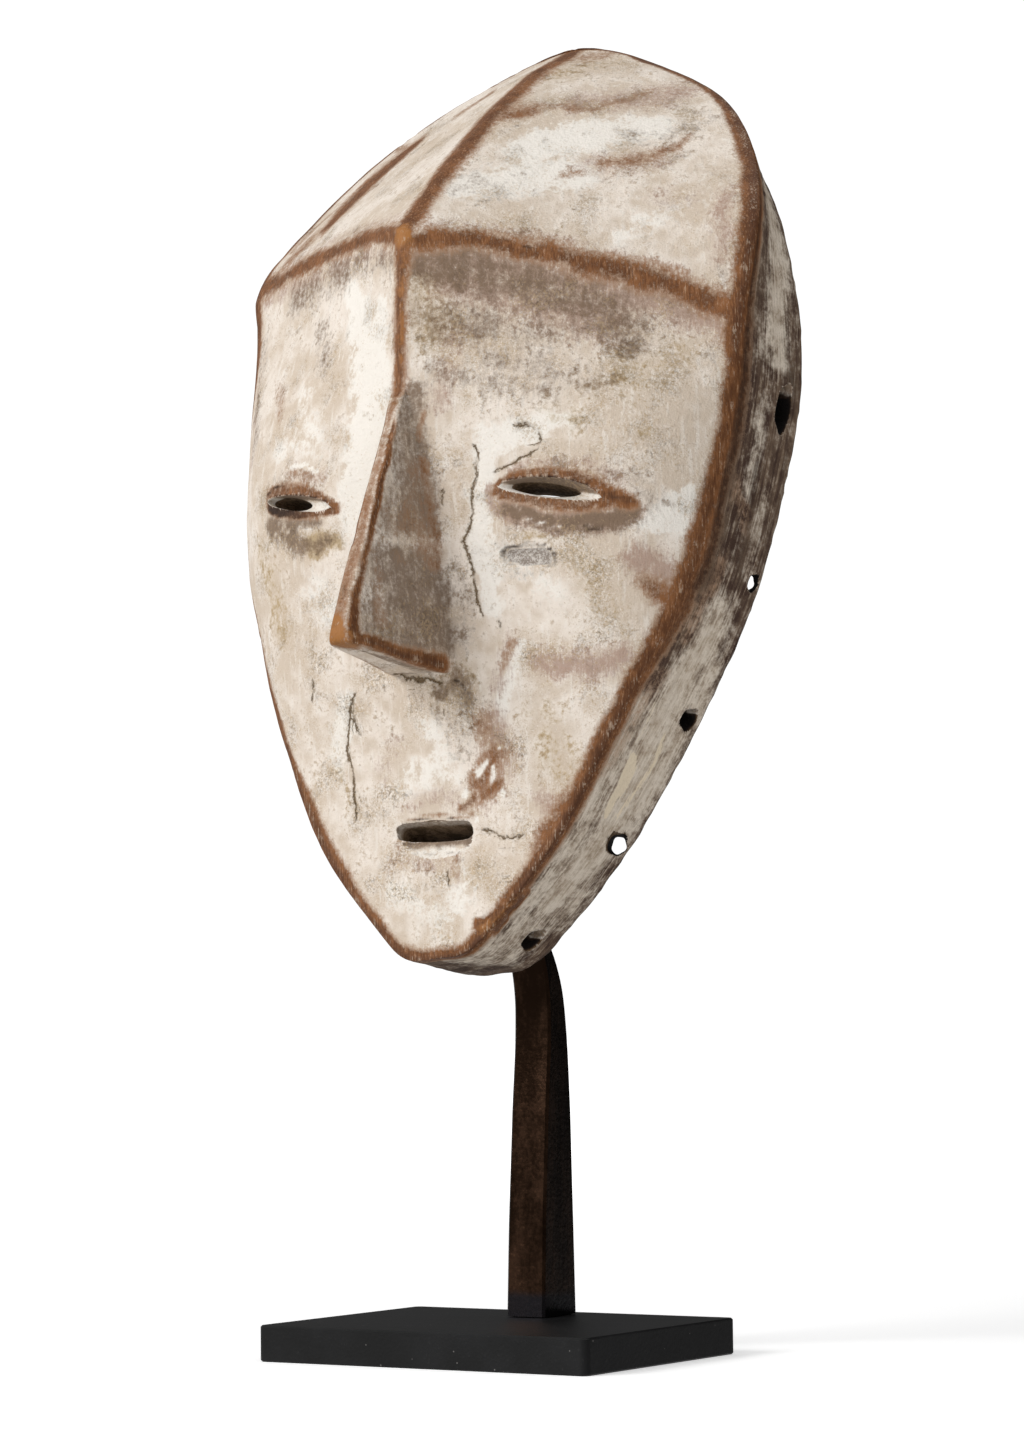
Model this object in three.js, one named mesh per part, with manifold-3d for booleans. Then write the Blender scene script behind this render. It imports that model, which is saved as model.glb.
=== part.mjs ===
// A whitened wooden face mask on its metal stand.
// Millimetres, +Z up. The origin is the middle of the base plate's underside. The mask looks towards -Y.
import * as THREE from 'three';
import { mergeVertices } from 'three/addons/utils/BufferGeometryUtils.js';
import Module from 'manifold-3d';

const wasm = await Module();
wasm.setup();

// Base plate
const PLATE_WIDTH = 118;
const PLATE_DEPTH = 86;
const PLATE_THICKNESS = 11;
const PLATE_CORNER = 2;
const PLATE_BEVEL = 0.5;

// Air left between two pieces that touch
const GAP = 0.3;

// Upright bar: its middle line in side view, its thickness along that line, and its width
const BAR_WIDTH_FOOT = 14;
const BAR_WIDTH_TOP = 12;
const BAR_EDGE = 0.8;
const BAR_TOP = 350.3;
const BAR_STATIONS = [
  { y: 25.0, z: PLATE_THICKNESS + GAP, thick: 19.0 },
  { y: 25.4, z: 40, thick: 17.2 },
  { y: 26.3, z: 75, thick: 14.0 },
  { y: 26.6, z: 98, thick: 10.5 },
  { y: 25.2, z: 112, thick: 8.6 },
  { y: 20.5, z: 124, thick: 6.0 },
  { y: 10.0, z: 137, thick: 5.5 },
  { y: 0.0, z: 150, thick: 5.2 },
  { y: -6.5, z: 165, thick: 5.0 },
  { y: -8.5, z: 185, thick: 5.0 },
  { y: -8.5, z: 270, thick: 4.6 },
  { y: -8.5, z: BAR_TOP, thick: 4.2 },
];

// Heights that the face is laid out on
const CHIN_Z = 121.2;
const NOSE_BASE_Z = 205.5;
const NOSE_TIP_Z = 213;
const NOSE_ROOT_Z = 291;
const BROW_Z = 340;
const CROWN_Z = 414;

// The edge between face and side wall: half width, depth and height, from the chin by the temple to the crown
const FACE_EDGE = [
  [0, -32.8, CHIN_Z],
  [12, -32.7, 122.6],
  [24.6, -31.6, 134],
  [44.4, -29.3, 158.4],
  [64.4, -22.4, 196.6],
  [81.3, -11.6, 236],
  [88.8, -3.5, 275.6],
  [91.6, 3.4, 315],
  [93.4, 8.2, 339.5],
  [82.2, 26.4, 364.6],
  [62.8, 43.2, 387.7],
  [34.5, 51, 403.6],
  [0, 54.5, CROWN_Z],
];
// The outer corner of the open back, read the same way
const BACK_EDGE = [
  [0, 3, 116.8],
  [12, 3.8, 118.2],
  [24.6, 6.2, 130],
  [46.8, 9.4, 156],
  [67.2, 15.2, 191.5],
  [83.6, 20.4, 228],
  [91.2, 29, 266],
  [93.4, 34.6, 298],
  [90.4, 33.6, 333],
  [79.6, 38, 358],
  [60, 47.5, 381],
  [33, 56.5, 399],
  [0, 61, 410],
];
// The inner corner of the open back
const HOLLOW_MOUTH = [
  [0, 3.4, 126],
  [11, 4, 128],
  [21.8, 6.4, 138],
  [41.4, 9.6, 162],
  [59.8, 15.4, 196],
  [75.4, 20.6, 231],
  [83, 29.2, 268],
  [85.2, 34.7, 297],
  [82.6, 33.6, 327],
  [72.6, 38, 348],
  [54, 47.5, 369.5],
  [30, 56.5, 387],
  [0, 61, 398],
];
// Where the hollow's side meets its floor
const HOLLOW_FLOOR_EDGE = [
  [0, -19, 137],
  [9.5, -19.5, 138.5],
  [19, -19.5, 146],
  [33.5, -18, 167],
  [51.5, -12, 200],
  [67.5, -3.5, 235],
  [75.5, 4, 270],
  [78.5, 9.5, 297],
  [77, 13, 322],
  [68.5, 19.5, 344],
  [51, 29.5, 365],
  [28, 44, 381.5],
  [0, 57, 391],
];

// Depth of the face down its middle, without the nose: height, depth
const FACE_MIDDLE = [
  [CHIN_Z, -33.6],
  [140, -32.6],
  [158, -31.2],
  [185, -33.5],
  [NOSE_BASE_Z, -37],
  [250, -43],
  [NOSE_ROOT_Z, -48.6],
  [BROW_Z, -46.2],
  [352, -33.8],
  [364.6, -20.4],
  [387.7, 8.2],
  [403.3, 31.7],
  [CROWN_Z, 54.5],
];
// Depth of the hollow's floor down its middle
const HOLLOW_MIDDLE = [
  [137, -19],
  [160, -15],
  [205, -22],
  [250, -28],
  [291, -33],
  [325, -32],
  [345, -20],
  [362, -2],
  [377, 20],
  [386, 40],
  [391, 57],
];

// The face folds straight at the brow. Lower down it is flat across and turns back near its edge
const FOLD_FADES = { from: 335, to: 255, least: 0.35 };
const CHEEK_CURVE = 5;
const FLOOR_CURVE = 3;

// The carver's brow sinks towards one side of the face
const BROW_SAG = 24.5;
const BROW_SAG_CURVE = 1.6;
const BROW_SAG_REACH = { below: 285, low: 334, high: 344, above: 385 };

// Nose
const NOSE_TIP_Y = -80;
const NOSE_FRONT = { tip: 4.6, mid: 2.7, root: 1.8 };
const NOSE_FRONT_MID_Z = 226;
const NOSE_FOOT = { tip: 10.5, mid: 6.5, root: 3 };
const NOSE_FOOT_MID_Z = 250;

// Eyes: an almond sunk into the face with a narrow slit through its floor, each cut a little differently
const EYE_LENGTH = 33.5;
const EYE_SUNK = 3.2;
const SLIT_LENGTH = 22;
const EYES = [
  { x: 45.6, z: 258.2, turn: 16, roll: -8.5, rise: 4.5, drop: 1.5, slitHalf: 1.8, slitShift: -2.4, slitRise: 1.3 },
  { x: -46.4, z: 261.7, turn: -16, roll: -8.4, rise: 2.5, drop: 2.2, slitHalf: 1.8, slitShift: -5, slitRise: 0.3 },
];

// Mouth: a slot through the wall. Like the eye slits it falls, by so many degrees, towards the inside
const MOUTH = { x: 0.2, z: 159, length: 27, height: 6.4 };
const SLIT_FALL = 11;
const MOUTH_FALL = 18;

// Lacing holes through the side wall: height, share of the way from face to back, diameter.
// One has torn out to a long slot, on one side only
const LACING = [
  { z: 294, share: 0.73, diameter: 6.4, torn: 14.5 },
  { z: 241, share: 0.84, diameter: 5.2 },
  { z: 199, share: 0.81, diameter: 7 },
  { z: 159.8, share: 0.79, diameter: 6.6 },
  { z: 129.5, share: 0.64, diameter: 7.6 },
];

// Fineness of the carving: rows between the named heights, and columns across one cheek
const ROWS = { jaw: 16, noseBase: 1, nose: 9, forehead: 6, crown: 13 };
const CHEEK_COLUMNS = 9;
const FLOOR_COLUMNS = 16;

// Smooth step from 0 at a to 1 at b
function ease(a, b, v) {
  const t = THREE.MathUtils.clamp((v - a) / (b - a), 0, 1);
  return t * t * (3 - 2 * t);
}

// Straight-line reading of a list of [key, value] pairs
function read(pairs, key) {
  for (let i = 1; i < pairs.length; i += 1) {
    if (key <= pairs[i][0]) {
      const [k0, v0] = pairs[i - 1];
      const [k1, v1] = pairs[i];
      return v0 + (v1 - v0) * THREE.MathUtils.clamp((key - k0) / (k1 - k0), 0, 1);
    }
  }
  return pairs[pairs.length - 1][1];
}

// A closed loop through the stations and their mirror images; at(s) runs from chin, s = 0, to crown, s = 1
function halfLoop(stations) {
  const side = stations.map(([x, y, z]) => new THREE.Vector3(x, y, z));
  const other = side.slice(1, -1).reverse().map((p) => new THREE.Vector3(-p.x, p.y, p.z));
  const loop = new THREE.CatmullRomCurve3([...side, ...other], true, 'centripetal');
  loop.arcLengthDivisions = 1600;
  return (s) => {
    const p = loop.getPointAt(s / 2);
    if (s === 0 || s === 1) {
      p.x = 0;
    }
    return p;
  };
}

const faceEdge = halfLoop(FACE_EDGE);
const backEdge = halfLoop(BACK_EDGE);
const hollowMouth = halfLoop(HOLLOW_MOUTH);
const floorEdge = halfLoop(HOLLOW_FLOOR_EDGE);

// The place s on an edge whose height is z, found by halving
function placeAtHeight(edge, z) {
  let low = 0;
  let high = 1;
  for (let i = 0; i < 30; i += 1) {
    const mid = (low + high) / 2;
    if (edge(mid).z < z) {
      low = mid;
    } else {
      high = mid;
    }
  }
  return (low + high) / 2;
}

// The rows' places on the face's edge, chin to crown, with rows exactly at the named heights
function rowPlaces() {
  const marks = [NOSE_BASE_Z, NOSE_TIP_Z, NOSE_ROOT_Z, BROW_Z].map((z) => placeAtHeight(faceEdge, z));
  const keys = [0, ...marks, 1];
  const counts = [ROWS.jaw, ROWS.noseBase, ROWS.nose, ROWS.forehead, ROWS.crown];
  const places = [0];
  counts.forEach((count, k) => {
    for (let i = 1; i <= count; i += 1) {
      places.push(keys[k] + ((keys[k + 1] - keys[k]) * i) / count);
    }
  });
  return places;
}

// Depth of the face at a share t of the half width: a straight fold at the brow, a soft curve below it
function faceDepth(t, z, edgeY) {
  const middle = read(FACE_MIDDLE, z);
  const fold = FOLD_FADES.least + (1 - FOLD_FADES.least) * ease(FOLD_FADES.to, FOLD_FADES.from, z);
  return middle + (edgeY - middle) * (fold * t + (1 - fold) * t ** CHEEK_CURVE);
}

// Half width of the nose's flat front, and of its foot on the face
function noseWidths(z) {
  const front = read([
    [NOSE_TIP_Z, NOSE_FRONT.tip], [NOSE_FRONT_MID_Z, NOSE_FRONT.mid], [NOSE_ROOT_Z, NOSE_FRONT.root],
  ], z);
  const foot = read([
    [NOSE_TIP_Z, NOSE_FOOT.tip], [NOSE_FOOT_MID_Z, NOSE_FOOT.mid], [NOSE_ROOT_Z, NOSE_FOOT.root],
  ], z);
  return { front, foot };
}

// How far the nose stands out of the face at a height: a wedge, cut off flat below
function noseRise(z) {
  if (z <= NOSE_BASE_Z || z >= NOSE_ROOT_Z) {
    return 0;
  }
  const root = read(FACE_MIDDLE, NOSE_ROOT_Z);
  const base = read(FACE_MIDDLE, NOSE_BASE_Z);
  const ridge = read([[NOSE_BASE_Z, base], [NOSE_TIP_Z, NOSE_TIP_Y], [NOSE_ROOT_Z, root]], z);
  return Math.max(0, read(FACE_MIDDLE, z) - ridge);
}

// How far a row sinks at a share t of the half width, to let the brow sag towards +X
function sag(t, z) {
  const reach = BROW_SAG_REACH;
  const bump = ease(reach.below, reach.low, z) * (1 - ease(reach.high, reach.above, z));
  return BROW_SAG * t ** BROW_SAG_CURVE * bump;
}

// One point of the face: a share t of the half width on one side of a row. A row whose heights sag
// takes its folds along, and its end slides down the face's edge
function facePlace(rowZ, t, side, drop) {
  const sunk = side > 0 ? sag(t, rowZ) : 0;
  const z = rowZ - sunk - drop;
  const edge = faceEdge(placeAtHeight(faceEdge, z));
  const depth = faceDepth(t, rowZ - drop, edge.y);
  return new THREE.Vector3(side * t * edge.x, depth, z);
}

// Across one row of the face: cheek, side of the nose, front of the nose, and back. At the nose's tip the
// row drops beside the nose, so that the nose's underside slopes down to its foot
function faceRow(s) {
  const edge = faceEdge(s);
  if (s === 0 || s === 1) {
    return new Array(2 * CHEEK_COLUMNS + 5).fill(edge);
  }
  const { front, foot } = noseWidths(edge.z);
  const bridge = Math.min(front / edge.x, 0.12);
  const base = Math.min(foot / edge.x, 0.3);
  const atTip = Math.abs(edge.z - NOSE_TIP_Z) < 0.01;
  const half = (side) => {
    const points = [];
    const tip = facePlace(edge.z, bridge, side, 0);
    tip.y -= noseRise(edge.z);
    points.push(tip);
    for (let i = 0; i <= CHEEK_COLUMNS; i += 1) {
      const share = i / CHEEK_COLUMNS;
      const drop = atTip ? (NOSE_TIP_Z - NOSE_BASE_Z - 0.8) * (1 - share) : 0;
      points.push(facePlace(edge.z, base + (1 - base) * share, side, drop));
    }
    return points;
  };
  const middle = facePlace(edge.z, 0, 1, 0);
  middle.y -= noseRise(edge.z);
  return [...half(-1).reverse(), middle, ...half(1)];
}

// Across one row of the hollow's floor
function floorRow(s) {
  const edge = floorEdge(s);
  const middle = read(HOLLOW_MIDDLE, edge.z);
  const fold = ease(FOLD_FADES.to, FOLD_FADES.from, edge.z);
  const row = [];
  for (let j = 0; j <= FLOOR_COLUMNS; j += 1) {
    const u = (2 * j) / FLOOR_COLUMNS - 1;
    const t = edge.x > 0 ? Math.abs(u) : 1;
    const share = fold * t + (1 - fold) * t ** FLOOR_CURVE;
    const depth = t === 1 ? edge.y : middle + (edge.y - middle) * share;
    row.push(new THREE.Vector3(u * edge.x, depth, edge.z));
  }
  return row;
}

// Collects points once each and faces between them
class Skin {
  constructor() {
    this.points = [];
    this.index = new Map();
    this.faces = [];
  }

  point(p) {
    const key = [p.x, p.y, p.z].map((v) => Math.round(v * 1000)).join();
    if (!this.index.has(key)) {
      this.index.set(key, this.points.length);
      this.points.push(p);
    }
    return this.index.get(key);
  }

  face(a, b, c) {
    if (a !== b && b !== c && c !== a) {
      this.faces.push(a, b, c);
    }
  }

  // Two rows of equally many points; the skin between them faces the side from which a to b runs clockwise
  band(rowA, rowB) {
    const a = rowA.map((p) => this.point(p));
    const b = rowB.map((p) => this.point(p));
    for (let i = 1; i < a.length; i += 1) {
      this.face(a[i - 1], a[i], b[i]);
      this.face(a[i - 1], b[i], b[i - 1]);
    }
  }

  geometry() {
    const flat = this.points.flatMap((p) => [p.x, p.y, p.z]);
    const geometry = new THREE.BufferGeometry();
    geometry.setAttribute('position', new THREE.Float32BufferAttribute(flat, 3));
    geometry.setIndex(this.faces);
    return geometry;
  }
}

// A whole loop, from the chin up the +X side over the crown and down the -X side, back to the chin
function loopOfEnds(rows) {
  const up = rows.map((row) => row[row.length - 1]);
  const down = rows.slice(0, -1).reverse().map((row) => row[0]);
  return [...up, ...down];
}

function fullLoop(edge, places) {
  const up = places.map((s) => edge(s));
  const down = up.slice(0, -1).reverse().map((p) => new THREE.Vector3(-p.x, p.y, p.z));
  return [...up, ...down];
}

// The carved shell before anything is cut through it
function shellGeometry() {
  const skin = new Skin();
  const places = rowPlaces();
  const faceRows = places.map((s) => faceRow(s));
  const floorRows = places.map((s) => floorRow(s));
  for (let i = 1; i < places.length; i += 1) {
    skin.band(faceRows[i - 1], faceRows[i]);
    skin.band(floorRows[i], floorRows[i - 1]);
  }
  const face = loopOfEnds(faceRows);
  const back = fullLoop(backEdge, places);
  const mouth = fullLoop(hollowMouth, places);
  const floor = fullLoop(floorEdge, places);
  const wall = face.map((p, i) => p.clone().lerp(back[i], 0.5));
  skin.band(wall, face);
  skin.band(back, wall);
  skin.band(mouth, back);
  skin.band(floor, mouth);
  return skin.geometry();
}

// A three.js geometry as a solid that can be joined and cut
function solid(geometry) {
  const bare = geometry.index ? geometry.clone() : geometry;
  for (const name of Object.keys(bare.attributes)) {
    if (name !== 'position') {
      bare.deleteAttribute(name);
    }
  }
  const merged = mergeVertices(bare, 1e-4);
  const mesh = new wasm.Mesh({
    numProp: 3,
    vertProperties: new Float32Array(merged.attributes.position.array),
    triVerts: new Uint32Array(merged.index.array),
  });
  return new wasm.Manifold(mesh);
}

function geometryOf(shape) {
  const mesh = shape.getMesh();
  const geometry = new THREE.BufferGeometry();
  geometry.setAttribute('position', new THREE.BufferAttribute(new Float32Array(mesh.vertProperties), 3));
  geometry.setIndex(new THREE.BufferAttribute(new Uint32Array(mesh.triVerts), 1));
  geometry.computeVertexNormals();
  return geometry;
}

// A pointed oval: two arcs that meet at its ends, one rising above their chord and one dropping below it
function almond(length, rise, drop, steps) {
  const shape = new THREE.Shape();
  for (let i = 0; i < 2 * steps; i += 1) {
    const angle = (Math.PI * i) / steps;
    const x = (length / 2) * Math.cos(angle);
    const swing = Math.sin(angle);
    const z = (swing > 0 ? rise : drop) * Math.sign(swing) * Math.abs(swing) ** 1.3;
    if (i === 0) {
      shape.moveTo(x, z);
    } else {
      shape.lineTo(x, z);
    }
  }
  shape.closePath();
  return shape;
}

// A slot with round ends
function slot(length, height) {
  const r = height / 2;
  const straight = length / 2 - r;
  const shape = new THREE.Shape();
  shape.moveTo(-straight, -r);
  shape.lineTo(straight, -r);
  shape.absarc(straight, 0, r, -Math.PI / 2, Math.PI / 2, false);
  shape.lineTo(-straight, r);
  shape.absarc(-straight, 0, r, Math.PI / 2, (3 * Math.PI) / 2, false);
  return shape;
}

// A cutter: an outline in the face's plane, rolled in that plane, turned to follow the cheek, and run from in
// front of a place on the face to a depth behind it, falling inwards
function cutter(shape, place, turn, roll, fall, ahead, behind) {
  const geometry = new THREE.ExtrudeGeometry(shape, {
    depth: ahead + behind,
    bevelEnabled: false,
    curveSegments: 5,
  });
  geometry.translate(0, 0, -behind);
  geometry.rotateZ(THREE.MathUtils.degToRad(roll));
  const holder = new THREE.Object3D();
  // the outline's X stays level, its Y becomes up and its run points out of the face, towards -Y
  holder.rotation.order = 'ZXY';
  holder.rotation.set(THREE.MathUtils.degToRad(90 - fall), 0, THREE.MathUtils.degToRad(turn));
  holder.position.copy(place);
  holder.updateMatrix();
  geometry.applyMatrix4(holder.matrix);
  return solid(geometry);
}

function facePoint(x, z) {
  const edge = faceEdge(placeAtHeight(faceEdge, z));
  return new THREE.Vector3(x, faceDepth(Math.abs(x) / edge.x, z, edge.y), z);
}

function eyeCutters(eye) {
  const place = facePoint(eye.x, eye.z);
  const along = THREE.MathUtils.degToRad(eye.turn);
  const slitPlace = place.clone();
  slitPlace.x += eye.slitShift * Math.cos(along);
  slitPlace.y += eye.slitShift * Math.sin(along);
  slitPlace.z += eye.slitRise - eye.slitShift * Math.sin(THREE.MathUtils.degToRad(-eye.roll));
  return [
    cutter(almond(EYE_LENGTH, eye.rise, eye.drop, 9), place, eye.turn, eye.roll, 0, 12, EYE_SUNK),
    cutter(almond(SLIT_LENGTH, eye.slitHalf, eye.slitHalf, 7), slitPlace, eye.turn, eye.roll, SLIT_FALL, 12, 45),
  ];
}

// A round hole square to the side wall
function lacingCutter(hole, side) {
  const s = placeAtHeight(faceEdge, hole.z);
  const step = 0.004;
  const front = faceEdge(s);
  const back = backEdge(s);
  const along = faceEdge(s + step).sub(faceEdge(s - step)).normalize();
  const inward = back.clone().sub(front).normalize();
  const normal = new THREE.Vector3().crossVectors(along, inward).normalize();
  const place = front.lerp(back, hole.share);
  const geometry = new THREE.CylinderGeometry(hole.diameter / 2, hole.diameter / 2, 36, 14);
  const stretch = side > 0 && hole.torn ? hole.torn / hole.diameter : 1;
  geometry.scale(stretch, 1, 1);
  const third = new THREE.Vector3().crossVectors(along, normal);
  geometry.applyMatrix4(new THREE.Matrix4().makeBasis(along, normal, third).setPosition(place));
  const bore = solid(geometry);
  return side > 0 ? bore : bore.mirror([1, 0, 0]);
}

function maskGeometry() {
  let mask = solid(shellGeometry());
  const cuts = EYES.flatMap((eye) => eyeCutters(eye));
  cuts.push(cutter(slot(MOUTH.length, MOUTH.height), facePoint(MOUTH.x, MOUTH.z), 0, 0, MOUTH_FALL, 12, 34));
  for (const side of [1, -1]) {
    for (const hole of LACING) {
      cuts.push(lacingCutter(hole, side));
    }
  }
  for (const cut of cuts) {
    mask = mask.subtract(cut);
  }
  return geometryOf(mask);
}

// The bar: a flat rectangle with broken edges, carried along its middle line
function barGeometry() {
  const line = new THREE.CatmullRomCurve3(
    BAR_STATIONS.map(({ y, z }) => new THREE.Vector3(0, y, z)), false, 'centripetal',
  );
  const thickAt = BAR_STATIONS.map(({ z, thick }) => [z, thick]);
  const skin = new Skin();
  const steps = 56;
  const rings = [];
  for (let i = 0; i <= steps; i += 1) {
    const p = line.getPoint(i / steps);
    const run = line.getTangent(i / steps);
    if (i === 0 || i === steps) {
      run.set(0, 0, 1);
    }
    const across = new THREE.Vector3(0, run.z, -run.y);
    const width = read([[0, BAR_WIDTH_FOOT], [110, 13.1], [BAR_TOP, BAR_WIDTH_TOP]], p.z);
    const w = width / 2;
    const h = read(thickAt, p.z) / 2;
    const e = BAR_EDGE;
    const corners = [[-w, -h + e], [-w + e, -h], [w - e, -h], [w, -h + e], [w, h - e], [w - e, h], [-w + e, h], [-w, h - e]];
    rings.push(corners.map(([x, a]) => p.clone().addScaledVector(across, a).setX(x)));
  }
  for (let i = 1; i < rings.length; i += 1) {
    skin.band([...rings[i - 1], rings[i - 1][0]], [...rings[i], rings[i][0]]);
  }
  const foot = rings[0];
  const top = rings[rings.length - 1];
  for (let i = 2; i < foot.length; i += 1) {
    skin.face(skin.point(foot[0]), skin.point(foot[i]), skin.point(foot[i - 1]));
    skin.face(skin.point(top[0]), skin.point(top[i - 1]), skin.point(top[i]));
  }
  return skin.geometry();
}

// The plate: a rounded rectangle with its edges just broken
function plateGeometry() {
  const a = PLATE_WIDTH / 2 - PLATE_BEVEL;
  const b = PLATE_DEPTH / 2 - PLATE_BEVEL;
  const r = PLATE_CORNER;
  const shape = new THREE.Shape();
  shape.moveTo(-a + r, -b);
  shape.lineTo(a - r, -b);
  shape.absarc(a - r, -b + r, r, -Math.PI / 2, 0, false);
  shape.lineTo(a, b - r);
  shape.absarc(a - r, b - r, r, 0, Math.PI / 2, false);
  shape.lineTo(-a + r, b);
  shape.absarc(-a + r, b - r, r, Math.PI / 2, Math.PI, false);
  shape.lineTo(-a, -b + r);
  shape.absarc(-a + r, -b + r, r, Math.PI, (3 * Math.PI) / 2, false);
  const geometry = new THREE.ExtrudeGeometry(shape, {
    depth: PLATE_THICKNESS - 2 * PLATE_BEVEL,
    bevelEnabled: true,
    bevelThickness: PLATE_BEVEL,
    bevelSize: PLATE_BEVEL,
    bevelSegments: 1,
    curveSegments: 4,
  });
  geometry.translate(0, 0, PLATE_BEVEL);
  return geometry;
}

function piece(name, geometry, color, roughness, metalness) {
  geometry.computeVertexNormals();
  const mesh = new THREE.Mesh(geometry, new THREE.MeshStandardMaterial({ color, roughness, metalness }));
  mesh.name = name;
  return mesh;
}

const maskOnStand = new THREE.Group();
maskOnStand.add(piece('base_plate', plateGeometry(), 0x2a2a2b, 0.45, 0.8));
maskOnStand.add(piece('stand_bar', barGeometry(), 0x2b211b, 0.5, 0.8));
maskOnStand.add(piece('mask', maskGeometry(), 0xd2c6b6, 0.85, 0));

export default maskOnStand;
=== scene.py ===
# %% [markdown]
# # A whitened wooden face mask on its stand
#
# The object is a tall carved mask. Its maker cut it from one block of light wood, hollowed the back, and
# rubbed the whole of it with white clay. Handling has since worn the clay away along every edge, down to
# brown wood. A dark metal bar holds it up on a black plate. This script dresses the three solids of the
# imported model: it carves the mask again at about one millimetre, and gives wood, clay and metal their
# finishes.

import bpy
import numpy as np
from mathutils import Matrix


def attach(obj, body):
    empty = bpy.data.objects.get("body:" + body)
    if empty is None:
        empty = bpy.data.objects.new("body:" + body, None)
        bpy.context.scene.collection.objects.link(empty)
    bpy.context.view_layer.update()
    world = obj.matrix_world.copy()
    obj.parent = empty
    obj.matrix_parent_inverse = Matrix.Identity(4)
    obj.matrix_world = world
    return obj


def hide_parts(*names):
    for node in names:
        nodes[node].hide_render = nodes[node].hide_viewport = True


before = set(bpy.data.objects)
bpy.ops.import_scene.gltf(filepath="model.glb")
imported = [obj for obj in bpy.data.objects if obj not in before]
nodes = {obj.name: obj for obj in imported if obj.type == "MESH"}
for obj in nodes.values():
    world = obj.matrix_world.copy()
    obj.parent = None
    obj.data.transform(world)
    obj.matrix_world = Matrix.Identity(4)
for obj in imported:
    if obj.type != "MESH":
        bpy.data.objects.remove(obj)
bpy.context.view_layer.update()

scene = bpy.context.scene
print("nodes:", sorted(nodes))

# %% [markdown]
# ## The camera
#
# The mask is seen from its left front, from a little above the plate, through a long lens that keeps its
# edges nearly parallel. A camera in Blender looks along its own -Z, so its matrix is built from three
# directions: right, up and the one opposite to the view. The lens is the focal length in pixels, turned
# into millimetres on a 36 mm sensor that spans the taller side of the frame.

# %% Camera
FRAME_HEIGHT = 1433          # pixels of the taller side, which the sensor spans
SENSOR = 36.0
FOCAL_PIXELS = 4200.0
YAW, PITCH, ROLL = np.radians([33.137, 3.845, -0.700])
CAMERA_PLACE = np.array([0.71044, -1.07594, 0.10901])

forward = np.array([-np.sin(YAW) * np.cos(PITCH), np.cos(YAW) * np.cos(PITCH), np.sin(PITCH)])
level = np.array([np.cos(YAW), np.sin(YAW), 0.0])
upright = np.cross(level, forward)
right = np.cos(ROLL) * level + np.sin(ROLL) * upright
up = np.cos(ROLL) * upright - np.sin(ROLL) * level

lens = bpy.data.cameras.new("camera")
lens.sensor_fit = "AUTO"
lens.sensor_width = SENSOR
lens.lens = FOCAL_PIXELS / FRAME_HEIGHT * SENSOR
lens.clip_start, lens.clip_end = 0.05, 100.0
camera = bpy.data.objects.new("camera", lens)
scene.collection.objects.link(camera)
turn = np.eye(4)
turn[:3, 0], turn[:3, 1], turn[:3, 2], turn[:3, 3] = right, up, -forward, CAMERA_PLACE
camera.matrix_world = Matrix(turn.tolist())
scene.camera = camera
print("lens %.1f mm" % lens.lens)

# %% [markdown]
# ## Numbers in, surfaces out
#
# Everything below is worked out in millimetres, as whole numpy arrays, and turned to metres only when a
# mesh is made. A few small helpers do the repeated work: soft steps, a spline through the carver's
# stations, smooth random lumps, and two functions that sew grids of points into a closed skin and make a
# mesh of it.

# %% Soft steps and splines
def soft_step(a, b, v):
    """0 below a and 1 above b; between them t*t*(3 - 2*t), with t = (v - a) / (b - a)."""
    t = np.clip((np.asarray(v, float) - a) / (b - a), 0, 1)
    return t * t * (3 - 2 * t)


def fade(a, b, v):
    """1 below a and 0 above b: 1 - soft_step(a, b, v)."""
    return 1 - soft_step(a, b, v)


def half_loop(stations, steps=80):
    """A curve from chin to crown through stations on one side: half of the closed loop that the stations
    and their mirror images make. Each stretch from p1 to p2 is a centripetal Catmull-Rom curve. With knots
    t that grow by the square root of the distance between points, the points are blended in pairs, and the
    blends in pairs again: c = mix(mix(p0, p1), mix(p1, p2), mix(p2, p3)), each by the share of the knots it
    spans."""
    half = np.array(stations, float)
    loop = np.vstack([half, half[-2:0:-1] * (-1, 1, 1)])
    p = [np.roll(loop, 1 - k, axis=0)[:, None, :] for k in range(4)]
    knots = [np.zeros((len(loop), 1, 1))]
    for a, b in zip(p, p[1:]):
        knots.append(knots[-1] + np.linalg.norm(b - a, axis=2, keepdims=True) ** 0.5)
    t0, t1, t2, t3 = knots
    t = t1 + (t2 - t1) * np.linspace(0, 1, steps, endpoint=False)[None, :, None]
    a1 = ((t1 - t) * p[0] + (t - t0) * p[1]) / (t1 - t0)
    a2 = ((t2 - t) * p[1] + (t - t1) * p[2]) / (t2 - t1)
    a3 = ((t3 - t) * p[2] + (t - t2) * p[3]) / (t3 - t2)
    b1 = ((t2 - t) * a1 + (t - t0) * a2) / (t2 - t0)
    b2 = ((t3 - t) * a2 + (t - t1) * a3) / (t3 - t1)
    curve = ((t2 - t) * b1 + (t - t1) * b2) / (t2 - t1)
    line = np.vstack([curve[:len(half) - 1].reshape(-1, 3), half[-1]])
    line[[0, -1], 0] = 0
    run = np.concatenate([[0], np.cumsum(np.linalg.norm(np.diff(line, axis=0), axis=1))])
    return line, run / run[-1]


def along(curve, places):
    """The points of a curve at the given shares of its length, by straight-line reading between its
    points."""
    line, share = curve
    return np.stack([np.interp(places, share, line[:, k]) for k in range(3)], -1)


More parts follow.
